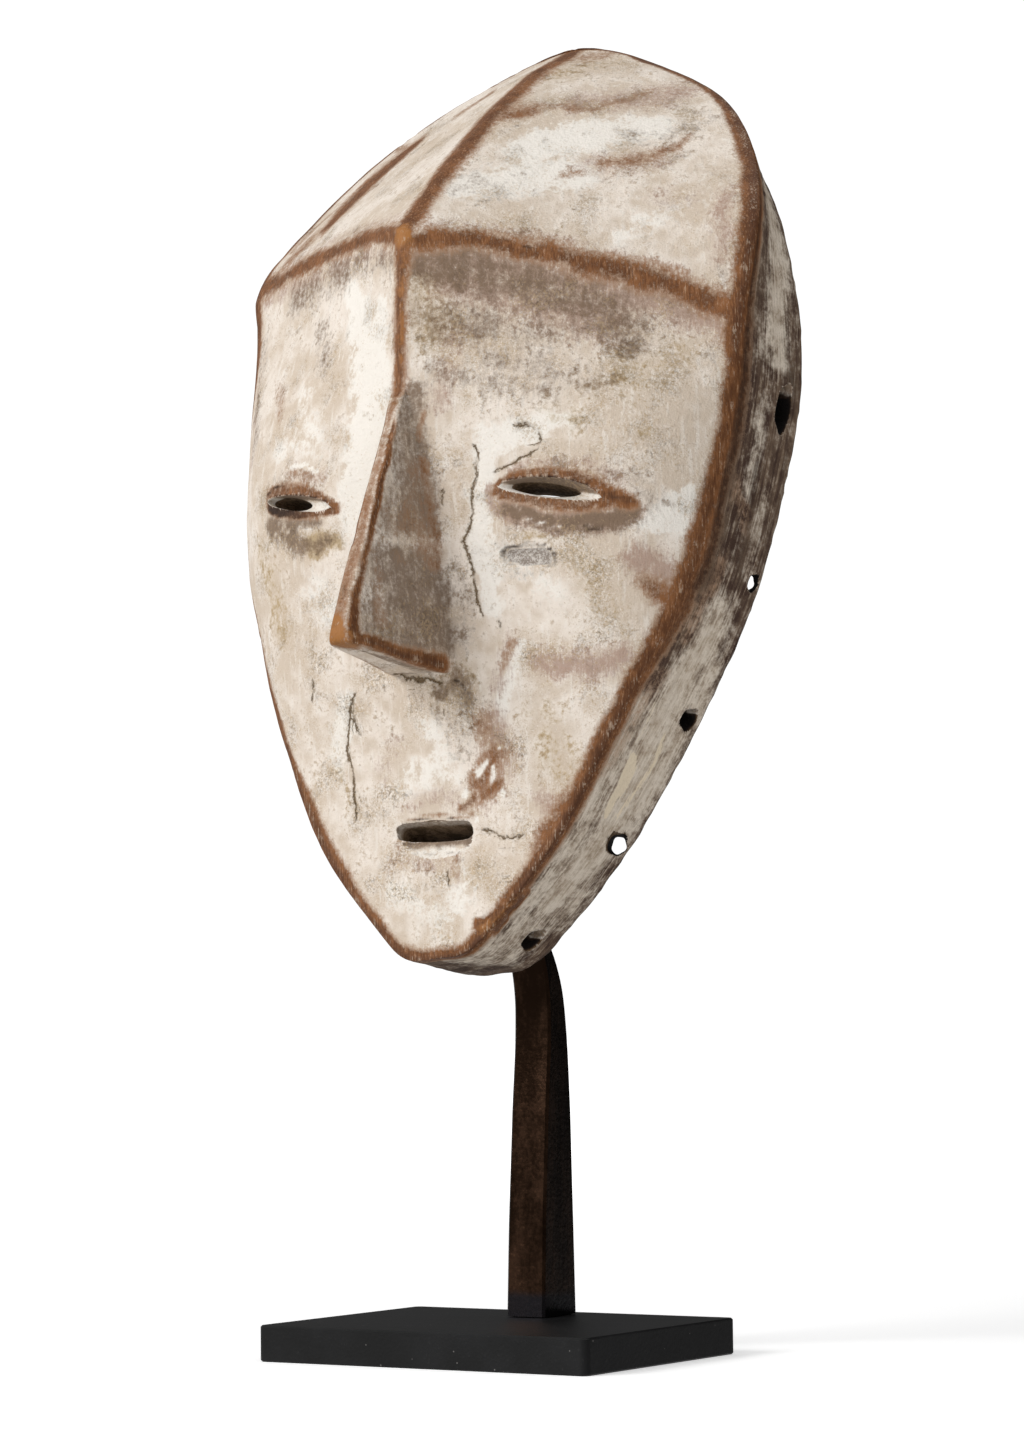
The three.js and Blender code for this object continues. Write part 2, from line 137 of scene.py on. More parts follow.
# %% Smooth random lumps
def lumps(points, size, seed):
    """Smooth random values from -1 to 1 that change over about size mm (one number, or one for each axis).
    Space is cut into cells of that size; each corner has a fixed random value, hashed from its whole-number
    place, and a point blends the eight corners of its cell by soft weights f*f*(3 - 2*f)."""
    q = np.asarray(points, float) / size + 7.13 * seed
    cell = np.floor(q).astype(np.int64)
    f = q - cell
    f = f * f * (3 - 2 * f)
    total = np.zeros(q.shape[:-1])
    for corner in range(8):
        step = np.array([corner & 1, corner >> 1 & 1, corner >> 2 & 1])
        place = cell + step
        x, y, z = np.moveaxis(place, -1, 0)
        h = x * 73856093 ^ y * 19349663 ^ z * 83492791 ^ seed * 2654435761
        h = (h ^ (h >> 13)) * 1274126177
        value = ((h ^ (h >> 16)) & 0xFFFF) / 32767.5 - 1
        total += np.prod(np.where(step, f, 1 - f), axis=-1) * value
    return total


# %% Grids into meshes
def sew(grids, weld=1e-3):
    """Grids are (points, marks) pairs, points of shape (rows, columns, 3). Four neighbouring points make a
    face. Points that fall together, within weld mm, become one, which closes the seams between grids and at
    poles. Returns the points, their marks and the faces' corner indices, -1 where a face has only three
    corners."""
    points, marks, faces, start = [], [], [], 0
    for grid, mark in grids:
        rows, cols = grid.shape[:2]
        number = start + np.arange(rows * cols).reshape(rows, cols)
        corners = [number[:-1, :-1], number[:-1, 1:], number[1:, 1:], number[1:, :-1]]
        faces.append(np.stack(corners, -1).reshape(-1, 4))
        points.append(grid.reshape(-1, 3))
        marks.append(np.broadcast_to(mark, (rows, cols)).reshape(-1))
        start += rows * cols
    points, marks, faces = np.vstack(points), np.concatenate(marks), np.vstack(faces)
    _, first, same = np.unique(np.round(points / weld).astype(np.int64), axis=0, return_index=True,
                               return_inverse=True)
    faces = same.reshape(-1)[faces]
    twin = faces == np.roll(faces, 1, axis=1)
    faces = faces[twin.sum(1) <= 1]
    twin = faces == np.roll(faces, 1, axis=1)
    order = np.argsort(twin, axis=1, kind="stable")
    faces = np.take_along_axis(faces, order, axis=1)
    faces[twin.any(1), 3] = -1
    return points[first], marks[first], faces


def build_mesh(name, points, faces, marks=None):
    """Puts points in mm and faces of three (-1 last) or four corners into a new mesh, in metres."""
    mesh = bpy.data.meshes.new(name)
    corners = faces[faces >= 0]
    sizes = (faces >= 0).sum(1)
    mesh.vertices.add(len(points))
    mesh.vertices.foreach_set("co", (points / 1000).astype(np.float32).ravel())
    mesh.loops.add(len(corners))
    mesh.loops.foreach_set("vertex_index", corners.astype(np.int32))
    mesh.polygons.add(len(faces))
    mesh.polygons.foreach_set("loop_start", (np.cumsum(sizes) - sizes).astype(np.int32))
    for key, values in (marks or {}).items():
        mesh.attributes.new(key, "FLOAT", "POINT").data.foreach_set("value", values.astype(np.float32))
    mesh.update(calc_edges=True)
    mesh.validate()
    thing = bpy.data.objects.new(name, mesh)
    scene.collection.objects.link(thing)
    return thing


# %% [markdown]
# ## The carver's stations
#
# A mask like this is blocked out by eye: an outline on the front of the log, a second one for the open
# back, and the depth of the middle line. The same three are written here, in millimetres, as the solids
# have them, and so are the two outlines and the middle line of the hollow. The outlines are given for one
# side and mirrored.
#
# The carving itself is not quite even, and here the scene goes beyond the solids. Its -X side stands up to
# 1.5 mm fuller: FULLER gives by how many millimetres at each height, and a negative number is slimmer. The
# chin's lowest point, a little towards -X, hangs 1.2 mm lower: that is CHIN_DROP.

# %% Stations of the form
FACE_EDGE = [
    (0, -32.8, 121.2), (12, -32.7, 122.6), (24.6, -31.6, 134), (44.4, -29.3, 158.4), (64.4, -22.4, 196.6),
    (81.3, -11.6, 236), (88.8, -3.5, 275.6), (91.6, 3.4, 315), (93.4, 8.2, 339.5), (82.2, 26.4, 364.6),
    (62.8, 43.2, 387.7), (34.5, 51, 403.6), (0, 54.5, 414)]
BACK_EDGE = [
    (0, 3, 116.8), (12, 3.8, 118.2), (24.6, 6.2, 130), (46.8, 9.4, 156), (67.2, 15.2, 191.5),
    (83.6, 20.4, 228), (91.2, 29, 266), (93.4, 34.6, 298), (90.4, 33.6, 333), (79.6, 38, 358),
    (60, 47.5, 381), (33, 56.5, 399), (0, 61, 410)]
HOLLOW_MOUTH = [
    (0, 3.4, 126), (11, 4, 128), (21.8, 6.4, 138), (41.4, 9.6, 162), (59.8, 15.4, 196), (75.4, 20.6, 231),
    (83, 29.2, 268), (85.2, 34.7, 297), (82.6, 33.6, 327), (72.6, 38, 348), (54, 47.5, 369.5),
    (30, 56.5, 387), (0, 61, 398)]
HOLLOW_FLOOR_EDGE = [
    (0, -19, 137), (9.5, -19.5, 138.5), (19, -19.5, 146), (33.5, -18, 167), (51.5, -12, 200),
    (67.5, -3.5, 235), (75.5, 4, 270), (78.5, 9.5, 297), (77, 13, 322), (68.5, 19.5, 344), (51, 29.5, 365),
    (28, 44, 381.5), (0, 57, 391)]
FACE_MIDDLE = np.array([(121.2, -33.6), (140, -32.6), (158, -31.2), (185, -33.5), (205.5, -37), (250, -43),
                        (291, -48.6), (340, -46.2), (352, -33.8), (364.6, -20.4), (387.7, 8.2),
                        (403.3, 31.7), (414, 54.5)])
HOLLOW_MIDDLE = np.array([(137, -19), (160, -15), (205, -22), (250, -28), (291, -33), (325, -32),
                          (345, -20), (362, -2), (377, 20), (386, 40), (391, 57)])
NOSE_BASE_Z, NOSE_TIP_Z, NOSE_ROOT_Z, BROW_Z = 205.5, 213.0, 291.0, 340.0
NOSE_TIP_Y = -80.0
NOSE_FRONT_Z = [NOSE_TIP_Z, 226, NOSE_ROOT_Z]
BROW_SAG, BROW_RISE, NOSE_SWELL = 24.5, 3.2, 3.0
FULLER = np.array([(116, 0.2), (128, 1.2), (150, 1.5), (192, 1.2), (218, 0.3), (242, 1.2), (258, 1.0),
                   (276, 0), (326, 0), (334, 1.0), (342, 0), (350, -1.2), (364, 0)])
CHIN_DROP = 1.2

face_edge, back_edge = half_loop(FACE_EDGE), half_loop(BACK_EDGE)
hollow_mouth, floor_edge = half_loop(HOLLOW_MOUTH), half_loop(HOLLOW_FLOOR_EDGE)


def half_width(z):
    """Half the face's width at a height, read straight between the points of its edge."""
    return np.interp(z, face_edge[0][:, 2], face_edge[0][:, 0])


def edge_depth(z):
    """Depth of the face's edge at a height, read in the same way."""
    return np.interp(z, face_edge[0][:, 2], face_edge[0][:, 1])


def middle_depth(z):
    """Depth of the face's middle line at a height, read straight between its stations."""
    return np.interp(z, FACE_MIDDLE[:, 0], FACE_MIDDLE[:, 1])


def face_depth(share, z, edge_y):
    """Depth of the face at a share of its half width: middle + (edge - middle) * (m*t + (1 - m)*t^5). m is
    1 at the brow, where the face folds straight like a roof, and falls to 0.35 below it, where it is
    flatter."""
    m = 0.35 + 0.65 * soft_step(255, 335, z)
    middle = middle_depth(z)
    return middle + (edge_y - middle) * (m * share + (1 - m) * share ** 5)


def brow_sag(share, z, side=1):
    """How far a row of the face sinks, as the carver's brow does. Towards +X it is 24.5 * t^1.6 mm at the
    brow, towards -X it is a rise of 3.2 * sin(pi * t^0.7) mm. Both fade out above and below the brow."""
    near = soft_step(285, 334, z) * fade(344, 385, z)
    return near * np.where(side > 0, BROW_SAG * share ** 1.6, -BROW_RISE * np.sin(np.pi * share ** 0.7))


def ridge_depth(k):
    """Depth of the nose's ridge, k from 0 at the tip to 1 at the root: straight, but swollen forwards by
    3 * sin(pi * k^0.55) mm."""
    root = middle_depth(NOSE_ROOT_Z) + 0.6
    return NOSE_TIP_Y + k * (root - NOSE_TIP_Y) - NOSE_SWELL * np.sin(np.pi * k ** 0.55)


edge_run = np.linalg.norm(np.diff(face_edge[0], axis=0), axis=1).sum()
print("face edge runs %.0f mm from chin to crown" % edge_run)
print("-X side up to %.1f mm fuller, chin %.1f mm lower" % (FULLER[:, 1].max(), CHIN_DROP))

# %% [markdown]
# ## The shell
#
# The mask is a thick shell with no loose edge: the face, the side wall, the rim, the inside of the wall and
# the floor of the hollow. Each is a grid whose border points are the same as its neighbour's, so they sew
# into one closed skin. Rows run level across the face, and one of them lies exactly on the brow, so that
# its fold is crisp. A mark on every point keeps where it lies: 0 on the face, up to 1 across the side wall,
# 2 across the rim, and 3 in the hollow. Later the clay and the bare wood are told apart by it. What is cut
# out afterwards gets marks of its own, 4 for the openings and 5 for the scoop at the lip.

# %% Rows and grids of the shell
ROW_STEPS = [74, 66, 42, 104]        # chin to nose base, to nose root, to brow, to crown
CHEEK_STEPS = 92
WALL_STEPS, RIM_STEPS, HOLLOW_STEPS, FLOOR_COLUMNS = 26, 6, 8, 40
OPENING_MARK, SCOOP_MARK = 4.0, 5.0

line, share = face_edge
marks_z = np.array([121.2, NOSE_BASE_Z, NOSE_ROOT_Z, BROW_Z, 414])
keys = np.interp(marks_z, line[:, 2], share)
keys[0], keys[-1] = 0, 1
places = np.concatenate([[0]] + [a + (b - a) * np.arange(1, n + 1) / n
                                 for a, b, n in zip(keys, keys[1:], ROW_STEPS)])
row_z = along(face_edge, places)[:, 2]

across = np.linspace(-1, 1, 2 * CHEEK_STEPS + 1)[None, :]
share_out = np.abs(across)
sag = brow_sag(share_out, row_z[:, None], across)
slid = np.interp(row_z[:, None] - sag, line[:, 2], share)
edge = along(face_edge, np.where(sag > 0, slid, places[:, None]))
depth = face_depth(share_out, row_z[:, None] + 0 * sag, edge[..., 1])
depth = np.where(share_out == 1, edge[..., 1], depth)
height = np.where(share_out == 1, edge[..., 2], row_z[:, None] - sag)
face_grid = np.stack([across * edge[..., 0], depth, height], -1)
face_grid[0] = line[0]
face_grid[-1] = line[-1]


def floor_points(columns):
    """The floor of the hollow, as the face is made: rows between its two edges, with its own middle
    line."""
    edge = along(floor_edge, places)
    u = np.linspace(-1, 1, columns + 1)[None, :]
    m = soft_step(255, 335, edge[:, 2:3])
    middle = np.interp(edge[:, 2:3], HOLLOW_MIDDLE[:, 0], HOLLOW_MIDDLE[:, 1])
    t = np.abs(u)
    y = middle + (edge[:, 1:2] - middle) * (m * t + (1 - m) * t ** 3)
    y = np.where(t == 1, edge[:, 1:2], y)
    grid = np.stack([u * edge[:, 0:1], y, edge[:, 2:3] + 0 * u], -1)
    grid[0], grid[-1] = edge[0], edge[-1]
    return grid


def whole_loop(side_a, side_b):
    """From the chin up one side, over the crown and down the other, back to the chin."""
    return np.vstack([side_a, side_b[-2::-1]])


def strip(start, end, steps, mark_a, mark_b):
    """A grid between two loops, straight from one to the other, with marks that run from mark_a to
    mark_b."""
    k = np.linspace(0, 1, steps + 1)
    far = k[:, None, None]
    return start[None] * (1 - far) + end[None] * far, (mark_a + (mark_b - mark_a) * k)[:, None]


MIRROR = np.array([-1, 1, 1])
face_loop = whole_loop(face_grid[:, -1], face_grid[:, 0])
back_loop = whole_loop(along(back_edge, places), along(back_edge, places) * MIRROR)
mouth_loop = whole_loop(along(hollow_mouth, places), along(hollow_mouth, places) * MIRROR)
floor_grid = floor_points(FLOOR_COLUMNS)
floor_loop = whole_loop(floor_grid[:, -1], floor_grid[:, 0])

grids = [(face_grid, 0.0), (floor_grid[::-1], 3.0)]
for a, b, steps, mark_a in ((face_loop, back_loop, WALL_STEPS, 0), (back_loop, mouth_loop, RIM_STEPS, 1),
                            (mouth_loop, floor_loop, HOLLOW_STEPS, 2)):
    skin, marks_across = strip(a, b, steps, mark_a, mark_a + 1)
    grids.append((skin[:, ::-1], marks_across))
shell_points, shell_place, shell_faces = sew(grids)
print("shell: %d points, %d faces" % (len(shell_points), len(shell_faces)))

# %% [markdown]
# ## The nose
#
# The long nose is a wedge. Its narrow front runs straight from the brow's fold down to a blunt tip, its
# sides fall back to the cheeks, and it is cut off below by one sloping stroke. Carving it as a solid of its
# own and joining it to the shell keeps the valley beside it sharp, as a chisel leaves it.

# %% Nose solid
def nose_grid(rings=74, around=112):
    """Rings from the tip's cut to the root. Ring v has six corners: the front's two at (+-b, ridge, zr),
    the foot's two at (+-f, face, zf), and two sunk 6 mm into the wood. zr and zf run from tip and base to
    the root. The ring is walked evenly round. Seven times over, each point becomes the mean of itself and
    its neighbours, 1:2:1, which rounds the corners to about 2 mm."""
    v = np.linspace(0, 1, rings)[:, None]
    zr = NOSE_TIP_Z + v * (NOSE_ROOT_Z - NOSE_TIP_Z)
    zf = NOSE_BASE_Z + 0.4 + v * (NOSE_ROOT_Z + 2 - NOSE_BASE_Z)
    ridge = ridge_depth(v)
    b = np.interp(zr, NOSE_FRONT_Z, [5.0, 3.6, 2.4])
    f = np.interp(zf, [NOSE_TIP_Z, 250, NOSE_ROOT_Z], [10.5, 6.5, 2.6])
    foot = face_depth(f / half_width(zf), zf, edge_depth(zf)) + 0.3
    sunk = foot + 6
    ring_corners = [(-0.8 * f, sunk, zf), (-f, foot, zf), (-b, ridge, zr), (b, ridge, zr), (f, foot, zf),
                    (0.8 * f, sunk, zf), (-0.8 * f, sunk, zf)]
    corners = np.stack([np.hstack(corner) for corner in ring_corners], 1)
    side = np.linalg.norm(np.diff(corners, axis=1), axis=2)
    run = np.hstack([np.zeros((rings, 1)), np.cumsum(side, axis=1)])
    mean_run = (run / run[:, -1:]).mean(0)
    u = np.linspace(0, 1, around, endpoint=False)
    k = np.clip(np.searchsorted(mean_run, u, side="right") - 1, 0, 5)
    t = ((u - mean_run[k]) / (mean_run[k + 1] - mean_run[k]))[None, :, None]
    ring = corners[:, k] * (1 - t) + corners[:, k + 1] * t
    for _ in range(7):
        ring = 0.25 * np.roll(ring, 1, axis=1) + 0.5 * ring + 0.25 * np.roll(ring, -1, axis=1)
    first, last = ring[:1].mean(1, keepdims=True), ring[-1:].mean(1, keepdims=True)
    lid = [first + (ring[:1] - first) * s for s in (0, 0.15, 0.3, 0.45, 0.6, 0.75, 0.88, 0.96)]
    end = [last + (ring[-1:] - last) * s for s in (0.6, 0)]
    grid = np.concatenate(lid + [ring] + end)
    return np.concatenate([grid, grid[:, :1]], axis=1)


nose_points, nose_place, nose_faces = sew([(nose_grid(), 0.0)])
print("nose: %d points" % len(nose_points))

# %% [markdown]
# ## The hand in the surface
#
# No plane of a carved mask is true. The blade leaves broad shallow facets, the long grain leaves ripples
# down the side wall, and years of handling take the sharpness off every fold. A few rounds of smoothing,
# where each point moves towards the mean of its neighbours, round the folds by about a millimetre. Then
# lumps of three sizes push the surface in and out along its normal, by tenths of a millimetre.

# %% Smoothing and relief
def edges_of(faces):
    """Every pair of neighbouring corners of the faces, each pair once."""
    following = np.roll(faces, -1, axis=1)
    following = np.where(following < 0, faces[:, :1], following)
    following[faces[:, 3] < 0, 2] = faces[faces[:, 3] < 0, 0]
    keep = faces >= 0
    pairs = np.sort(np.stack([faces[keep], following[keep]], -1), axis=1)
    return np.unique(pairs, axis=0)


def mean_of_neighbours(values, pairs):
    """For each point, the mean of the values at the points it shares an edge with."""
    values = values.reshape(len(values), -1)
    total = np.zeros_like(values)
    count = np.zeros((len(values), 1))
    for a, b in ((0, 1), (1, 0)):
        for k in range(values.shape[1]):
            total[:, k] += np.bincount(pairs[:, a], values[pairs[:, b], k], len(values))
        count[:, 0] += np.bincount(pairs[:, a], minlength=len(values))
    return total / np.maximum(count, 1)


def relax(points, pairs, rounds, weight=0.5):
    """Rounds of p = (1 - weight) * p + weight * (mean of its neighbours), with one weight or one for each
    point."""
    weight = np.broadcast_to(weight, len(points))[:, None]
    for _ in range(rounds):
        points = (1 - weight) * points + weight * mean_of_neighbours(points, pairs)
    return points


def point_normals(points, faces):
    """The unit normal at each point: the sum of its faces' cross products (c - a) x (d - b)."""
    last = np.where(faces[:, 3] < 0, faces[:, 0], faces[:, 3])
    push = np.cross(points[faces[:, 2]] - points[faces[:, 0]], points[last] - points[faces[:, 1]])
    total = np.zeros_like(points)
    for k in range(4):
        use = faces[:, k] >= 0
        for axis in range(3):
            total[:, axis] += np.bincount(faces[use, k], push[use, axis], len(points))
    return total / np.maximum(np.linalg.norm(total, axis=1, keepdims=True), 1e-12)


def carve(points, place):
    """How far the surface stands in or out, in mm: broad waves of 30 mm, blade facets of 11 mm and small
    dents of 4 mm on the face; on the wall, ripples 4 mm wide and 45 mm long that follow the upright grain;
    bolder gouge marks in the hollow."""
    wall = soft_step(0.05, 0.3, place) * fade(1.9, 2.1, place)
    hollow = soft_step(1.9, 2.2, place)
    face = 0.30 * lumps(points, 30, 1) + 0.13 * lumps(points, 11, 2) + 0.07 * lumps(points, 4, 3)
    grain = 0.26 * lumps(points, (5, 5, 45), 4) + 0.16 * lumps(points, (2.6, 2.6, 22), 5)
    grain = grain + 0.3 * lumps(points, 26, 6)
    gouge = 0.5 * np.abs(lumps(points, (9, 9, 26), 7)) + 0.25 * lumps(points, 20, 8)
    return face * (1 - wall) * (1 - hollow) + grain * wall * (1 - hollow) + gouge * hollow - 0.15


shell_pairs = edges_of(shell_faces)
shell_points = relax(shell_points, shell_pairs, 3)
turned = np.linalg.norm(mean_of_neighbours(point_normals(shell_points, shell_faces), shell_pairs), axis=1)
rubbed = soft_step(0.006, 0.05, 1 - turned) * (shell_place < 0.2)
for _ in range(6):
    rubbed = np.maximum(rubbed, mean_of_neighbours(rubbed, shell_pairs)[:, 0])
shell_points = relax(shell_points, shell_pairs, 10, 0.5 * rubbed)
fuller = np.interp(shell_points[:, 2], FULLER[:, 0], FULLER[:, 1]) * soft_step(8, 40, -shell_points[:, 0])
shell_points[:, 0] -= fuller
at_chin = fade(118, 132, shell_points[:, 2])
shell_points[:, 2] -= CHIN_DROP * at_chin * fade(2, 14, np.abs(shell_points[:, 0] + 10))
rim = soft_step(0.75, 1.0, shell_place) * fade(1.6, 1.9, shell_place)
shell_push = carve(shell_points, shell_place) - 0.45 * rim * np.abs(lumps(shell_points, 5, 11))
shell_points = shell_points + point_normals(shell_points, shell_faces) * shell_push[:, None]
nose_points = relax(nose_points, edges_of(nose_faces), 5)
proud = middle_depth(nose_points[:, 2]) - nose_points[:, 1]
nose_push = carve(nose_points, nose_place) * soft_step(2.5, 6, proud)
nose_points = nose_points + point_normals(nose_points, nose_faces) * nose_push[:, None]
print("relief from %.2f to %.2f mm" % (shell_push.min(), shell_push.max()))

# %% [markdown]
# ## Eyes, mouth and lacing holes
#
# The openings are cut last, as the carver cut them. Each eye is a pointed oval whose walls slope in to a
# narrow slit, and the slit runs on through the wood, falling inwards, so that no light shows in it. The
# mouth is a slot with a scooped lower lip. Round holes near the rim once held the lacing of a beard or a
# backing. Every cutter is a closed solid, a stack of rings, and the Boolean modifier takes it away.

# %% Cutters
RING_POINTS = 64


def ring_stack(rings):
    """A closed solid from rings of points (levels, around, 3), with a fan of faces to the middle at both
    ends."""
    rings = np.asarray(rings)
    first, last = rings[:1].mean(1, keepdims=True), rings[-1:].mean(1, keepdims=True)
    grid = np.concatenate([np.broadcast_to(first, rings[:1].shape), rings,
                           np.broadcast_to(last, rings[:1].shape)])
    points, _, faces = sew([(np.concatenate([grid, grid[:, :1]], axis=1), OPENING_MARK)])
    last_corner = np.where(faces[:, 3] < 0, faces[:, 0], faces[:, 3])
    a, b, c, d = (points[faces[:, 0]], points[faces[:, 1]], points[faces[:, 2]], points[last_corner])
    volumes = np.einsum("ij,ij->i", a, np.cross(b, c)) + np.einsum("ij,ij->i", a, np.cross(c, d))
    if volumes.sum() < 0:         # a negative volume means that the faces look inwards
        turned = faces[:, [2, 1, 0, 3]]
        whole = faces[:, 3] >= 0
        turned[whole] = faces[whole][:, ::-1]
        faces = turned
    return points, faces


def frame_at(place, turn, roll, fall):
    """Three directions at a place on the face, in degrees: along (turned to follow the cheek, rolled in its
    plane), up, and inwards (falling by so many degrees)."""
    turn, roll, fall = np.radians([turn, roll, fall])
    out = np.array([np.sin(turn), -np.cos(turn), 0.0])
    level_way = np.array([np.cos(turn), np.sin(turn), 0.0])
    rise = np.array([0.0, 0.0, 1.0])
    along_way = np.cos(roll) * level_way + np.sin(roll) * rise
    up_way = np.cos(roll) * rise - np.sin(roll) * level_way
    inward = -np.cos(fall) * out - np.sin(fall) * rise
    return np.array(place, float), along_way, up_way, inward


def almond(length, rise, drop, point=1.25, taper=0.4):
    """A pointed oval: x = L/2 * cos(a), z = R * sin(a)^p above its chord and D * sin(a)^p below it, with p
    larger towards +x, where the oval runs out in a sharper point."""
    a = np.linspace(0, 2 * np.pi, RING_POINTS, endpoint=False)
    s = np.sin(a)
    power = point + taper * soft_step(0.1, 1.0, np.cos(a))
    return np.stack([length / 2 * np.cos(a), np.where(s > 0, rise, drop) * np.sign(s) * np.abs(s) ** power],
                    -1)


def surface_at(x, z):
    """The depth of the face at x and height z."""
    return float(face_depth(abs(x) / half_width(z), z, edge_depth(z)))


def eye_cutter(x, z, turn, roll, length, rise, drop, slit_length, slit_half, slit_shift, slit_rise):
    """Rings of almonds: the eye's outline from 9 mm ahead of the face to its surface, closing to the slit
    over the next 3.2 mm, and then straight on through the wood, a little narrower with every millimetre."""
    place, along_way, up_way, inward = frame_at((x, surface_at(x, z), z), turn, roll, 12.5)
    rings = []
    for deep in (-9, 0.4, 1.4, 2.4, 3.2, 4, 5, 6.5, 8.5, 11, 14, 18, 45):
        k = np.clip((deep - 0.4) / 2.8, 0, 1)
        shrink = 1 - 0.03 * np.clip(deep - 3, 0, 12)
        slit = almond(slit_length, slit_half, slit_half, 1.05, 0) * shrink + (slit_shift, slit_rise)
        outline = almond(length, rise, drop) * (1 - k) + slit * k
        rings.append(place + inward * deep + outline[:, :1] * along_way + outline[:, 1:] * up_way)
    return ring_stack(rings)


def slot(length, height):
    """A long slot: x = L/2 * c(cos a), z = H/2 * c(sin a), where c(v) is v's square root with its sign
    kept."""
    a = np.linspace(0, 2 * np.pi, RING_POINTS, endpoint=False)
    c, s = np.cos(a), np.sin(a)
    return np.stack([length / 2 * np.sign(c) * np.abs(c) ** 0.35,
                     height / 2 * np.sign(s) * np.abs(s) ** 0.55], -1)


def mouth_cutter():
    """A slot with frayed edges, falling steeply inwards."""
    place, along_way, up_way, inward = frame_at((0.1, -31.2, 159.7), 0, 0.5, 21)
    rings = []
    for deep in (-8, -2, 0, 1, 2, 3.5, 5, 7, 10, 14, 20, 34):
        outline = slot(28, 5.5 - 0.16 * min(max(deep, 0), 12))
        spot = place + inward * deep + outline[:, :1] * along_way + outline[:, 1:] * up_way
        fray = 1 + 0.07 * lumps(spot, 2.2, 21)
        outline = outline * fray[:, None]
        rings.append(place + inward * deep + outline[:, :1] * along_way + outline[:, 1:] * up_way)
    return ring_stack(rings)


def bowl(centre, radii, n=40):
    """An ellipsoid: centre + radii * (sin p cos a, cos p, sin p sin a)."""
    p = np.linspace(0.02, np.pi - 0.02, n // 2)[:, None]
    a = np.linspace(0, 2 * np.pi, n, endpoint=False)[None, :]
    unit = np.stack([np.sin(p) * np.cos(a), np.cos(p) + 0 * a, np.sin(p) * np.sin(a)], -1)
    return ring_stack(np.array(centre) + np.array(radii) * unit)


def lacing_cutter(z, share_back, across, tall, narrows, slant, side):
    """A slightly uneven bore at a height and a share of the way from face to back, square to the side wall
    or slantwise to the back, where it comes out in the hollow. Inwards it loses so much of its radius with
    every millimetre. Gives the solid, the middle of the bore's mouth and its way out."""
    s = np.interp(z, face_edge[0][:, 2], face_edge[1])
    front, back = along(face_edge, s), along(back_edge, s)
    run = along(face_edge, s + 0.004) - along(face_edge, s - 0.004)
    run /= np.linalg.norm(run)
    deep = (back - front) / np.linalg.norm(back - front)
    out = np.cross(deep, run) if slant is None or side < 0 else np.array(slant)
    out /= np.linalg.norm(out)
    run = np.cross(deep, out)
    run /= np.linalg.norm(run)
    wide_way = np.cross(out, run)
    place = front + (back - front) * share_back
    a = np.linspace(0, 2 * np.pi, 28, endpoint=False)[:, None]
    rings = []
    for k in (-20, -16, -12, -9, -7, -5, -3.5, -2, -1, 0, 1, 3, 6):
        r = 0.5 * (1 + 0.06 * np.sin(3 * a + 0.4 * k) + 0.05 * np.sin(5 * a)) * (1 + narrows * max(k, -11))
        r = r * (1 + 0.12 * soft_step(-2.5, 0.5, k))
        rings.append(place + out * k + r * tall * np.cos(a) * run + r * across * np.sin(a) * wide_way)
    flip = np.array([1, 1, 1]) if side > 0 else MIRROR
    return ring_stack(np.array(rings) * flip), place * flip, out * flip


# An eye: its x and z, its turn and roll in degrees, its length, and its rise above and drop below its
# chord.
EYES = [(46.3, 258.1, 16, -8.5, 35.2, 4.5, 1.5), (-45.8, 261.6, -16, -8.4, 35.2, 2.5, 2.2)]
cutters = [eye_cutter(*EYES[0], 22.6, 2.0, -3.0, 1.7), eye_cutter(*EYES[1], 21.4, 2.1, -7.6, 0.4),
           mouth_cutter()]
# A lacing hole: its height, its share of the way back, its width, its height on the +X side, how it
# narrows, the way it is bored if it is slanting, and how high in its mouth the pale rim starts, as a share
# of its height. A 9 means that it has none.
LACING = [
    (294, 0.73, 7.4, 15, 0, None, 0.22), (240.8, 0.86, 3.5, 5.4, 0.02, (0.735, -0.67, -0.1), 9),
    (199, 0.81, 7.4, 6.8, 0, None, 0.16), (159.8, 0.79, 5.6, 7.0, 0.026, (0.499, -0.867, -0.036), 9),
    (129.6, 0.64, 8.4, 7.8, 0.02, None, -0.02)]
bores = []
for z, share_back, wide, tall, narrows, slant, pale_from in LACING:
    for side in (1, -1):
        high = tall if side > 0 else wide
        solid, mouth_of_bore, way_out = lacing_cutter(z, share_back, wide, high, narrows, slant, side)
        cutters.append(solid)
        bores.append((mouth_of_bore, way_out, high, pale_from))


def gather(solids):
    """Several closed solids as the points and faces of one mesh."""
    starts = np.cumsum([0] + [len(points) for points, _ in solids])
    faces = [np.where(f >= 0, f + start, -1) for (_, f), start in zip(solids, starts)]
    return np.vstack([points for points, _ in solids]), np.vstack(faces)


print("%d openings to cut" % len(cutters))

# %% Join the nose and cut the openings
def as_marks(place):
    """The marks that ride through the Boolean: where a point lies, and 1 for every point that was there
    before."""
    return {"place": place, "old": np.ones(len(place))}


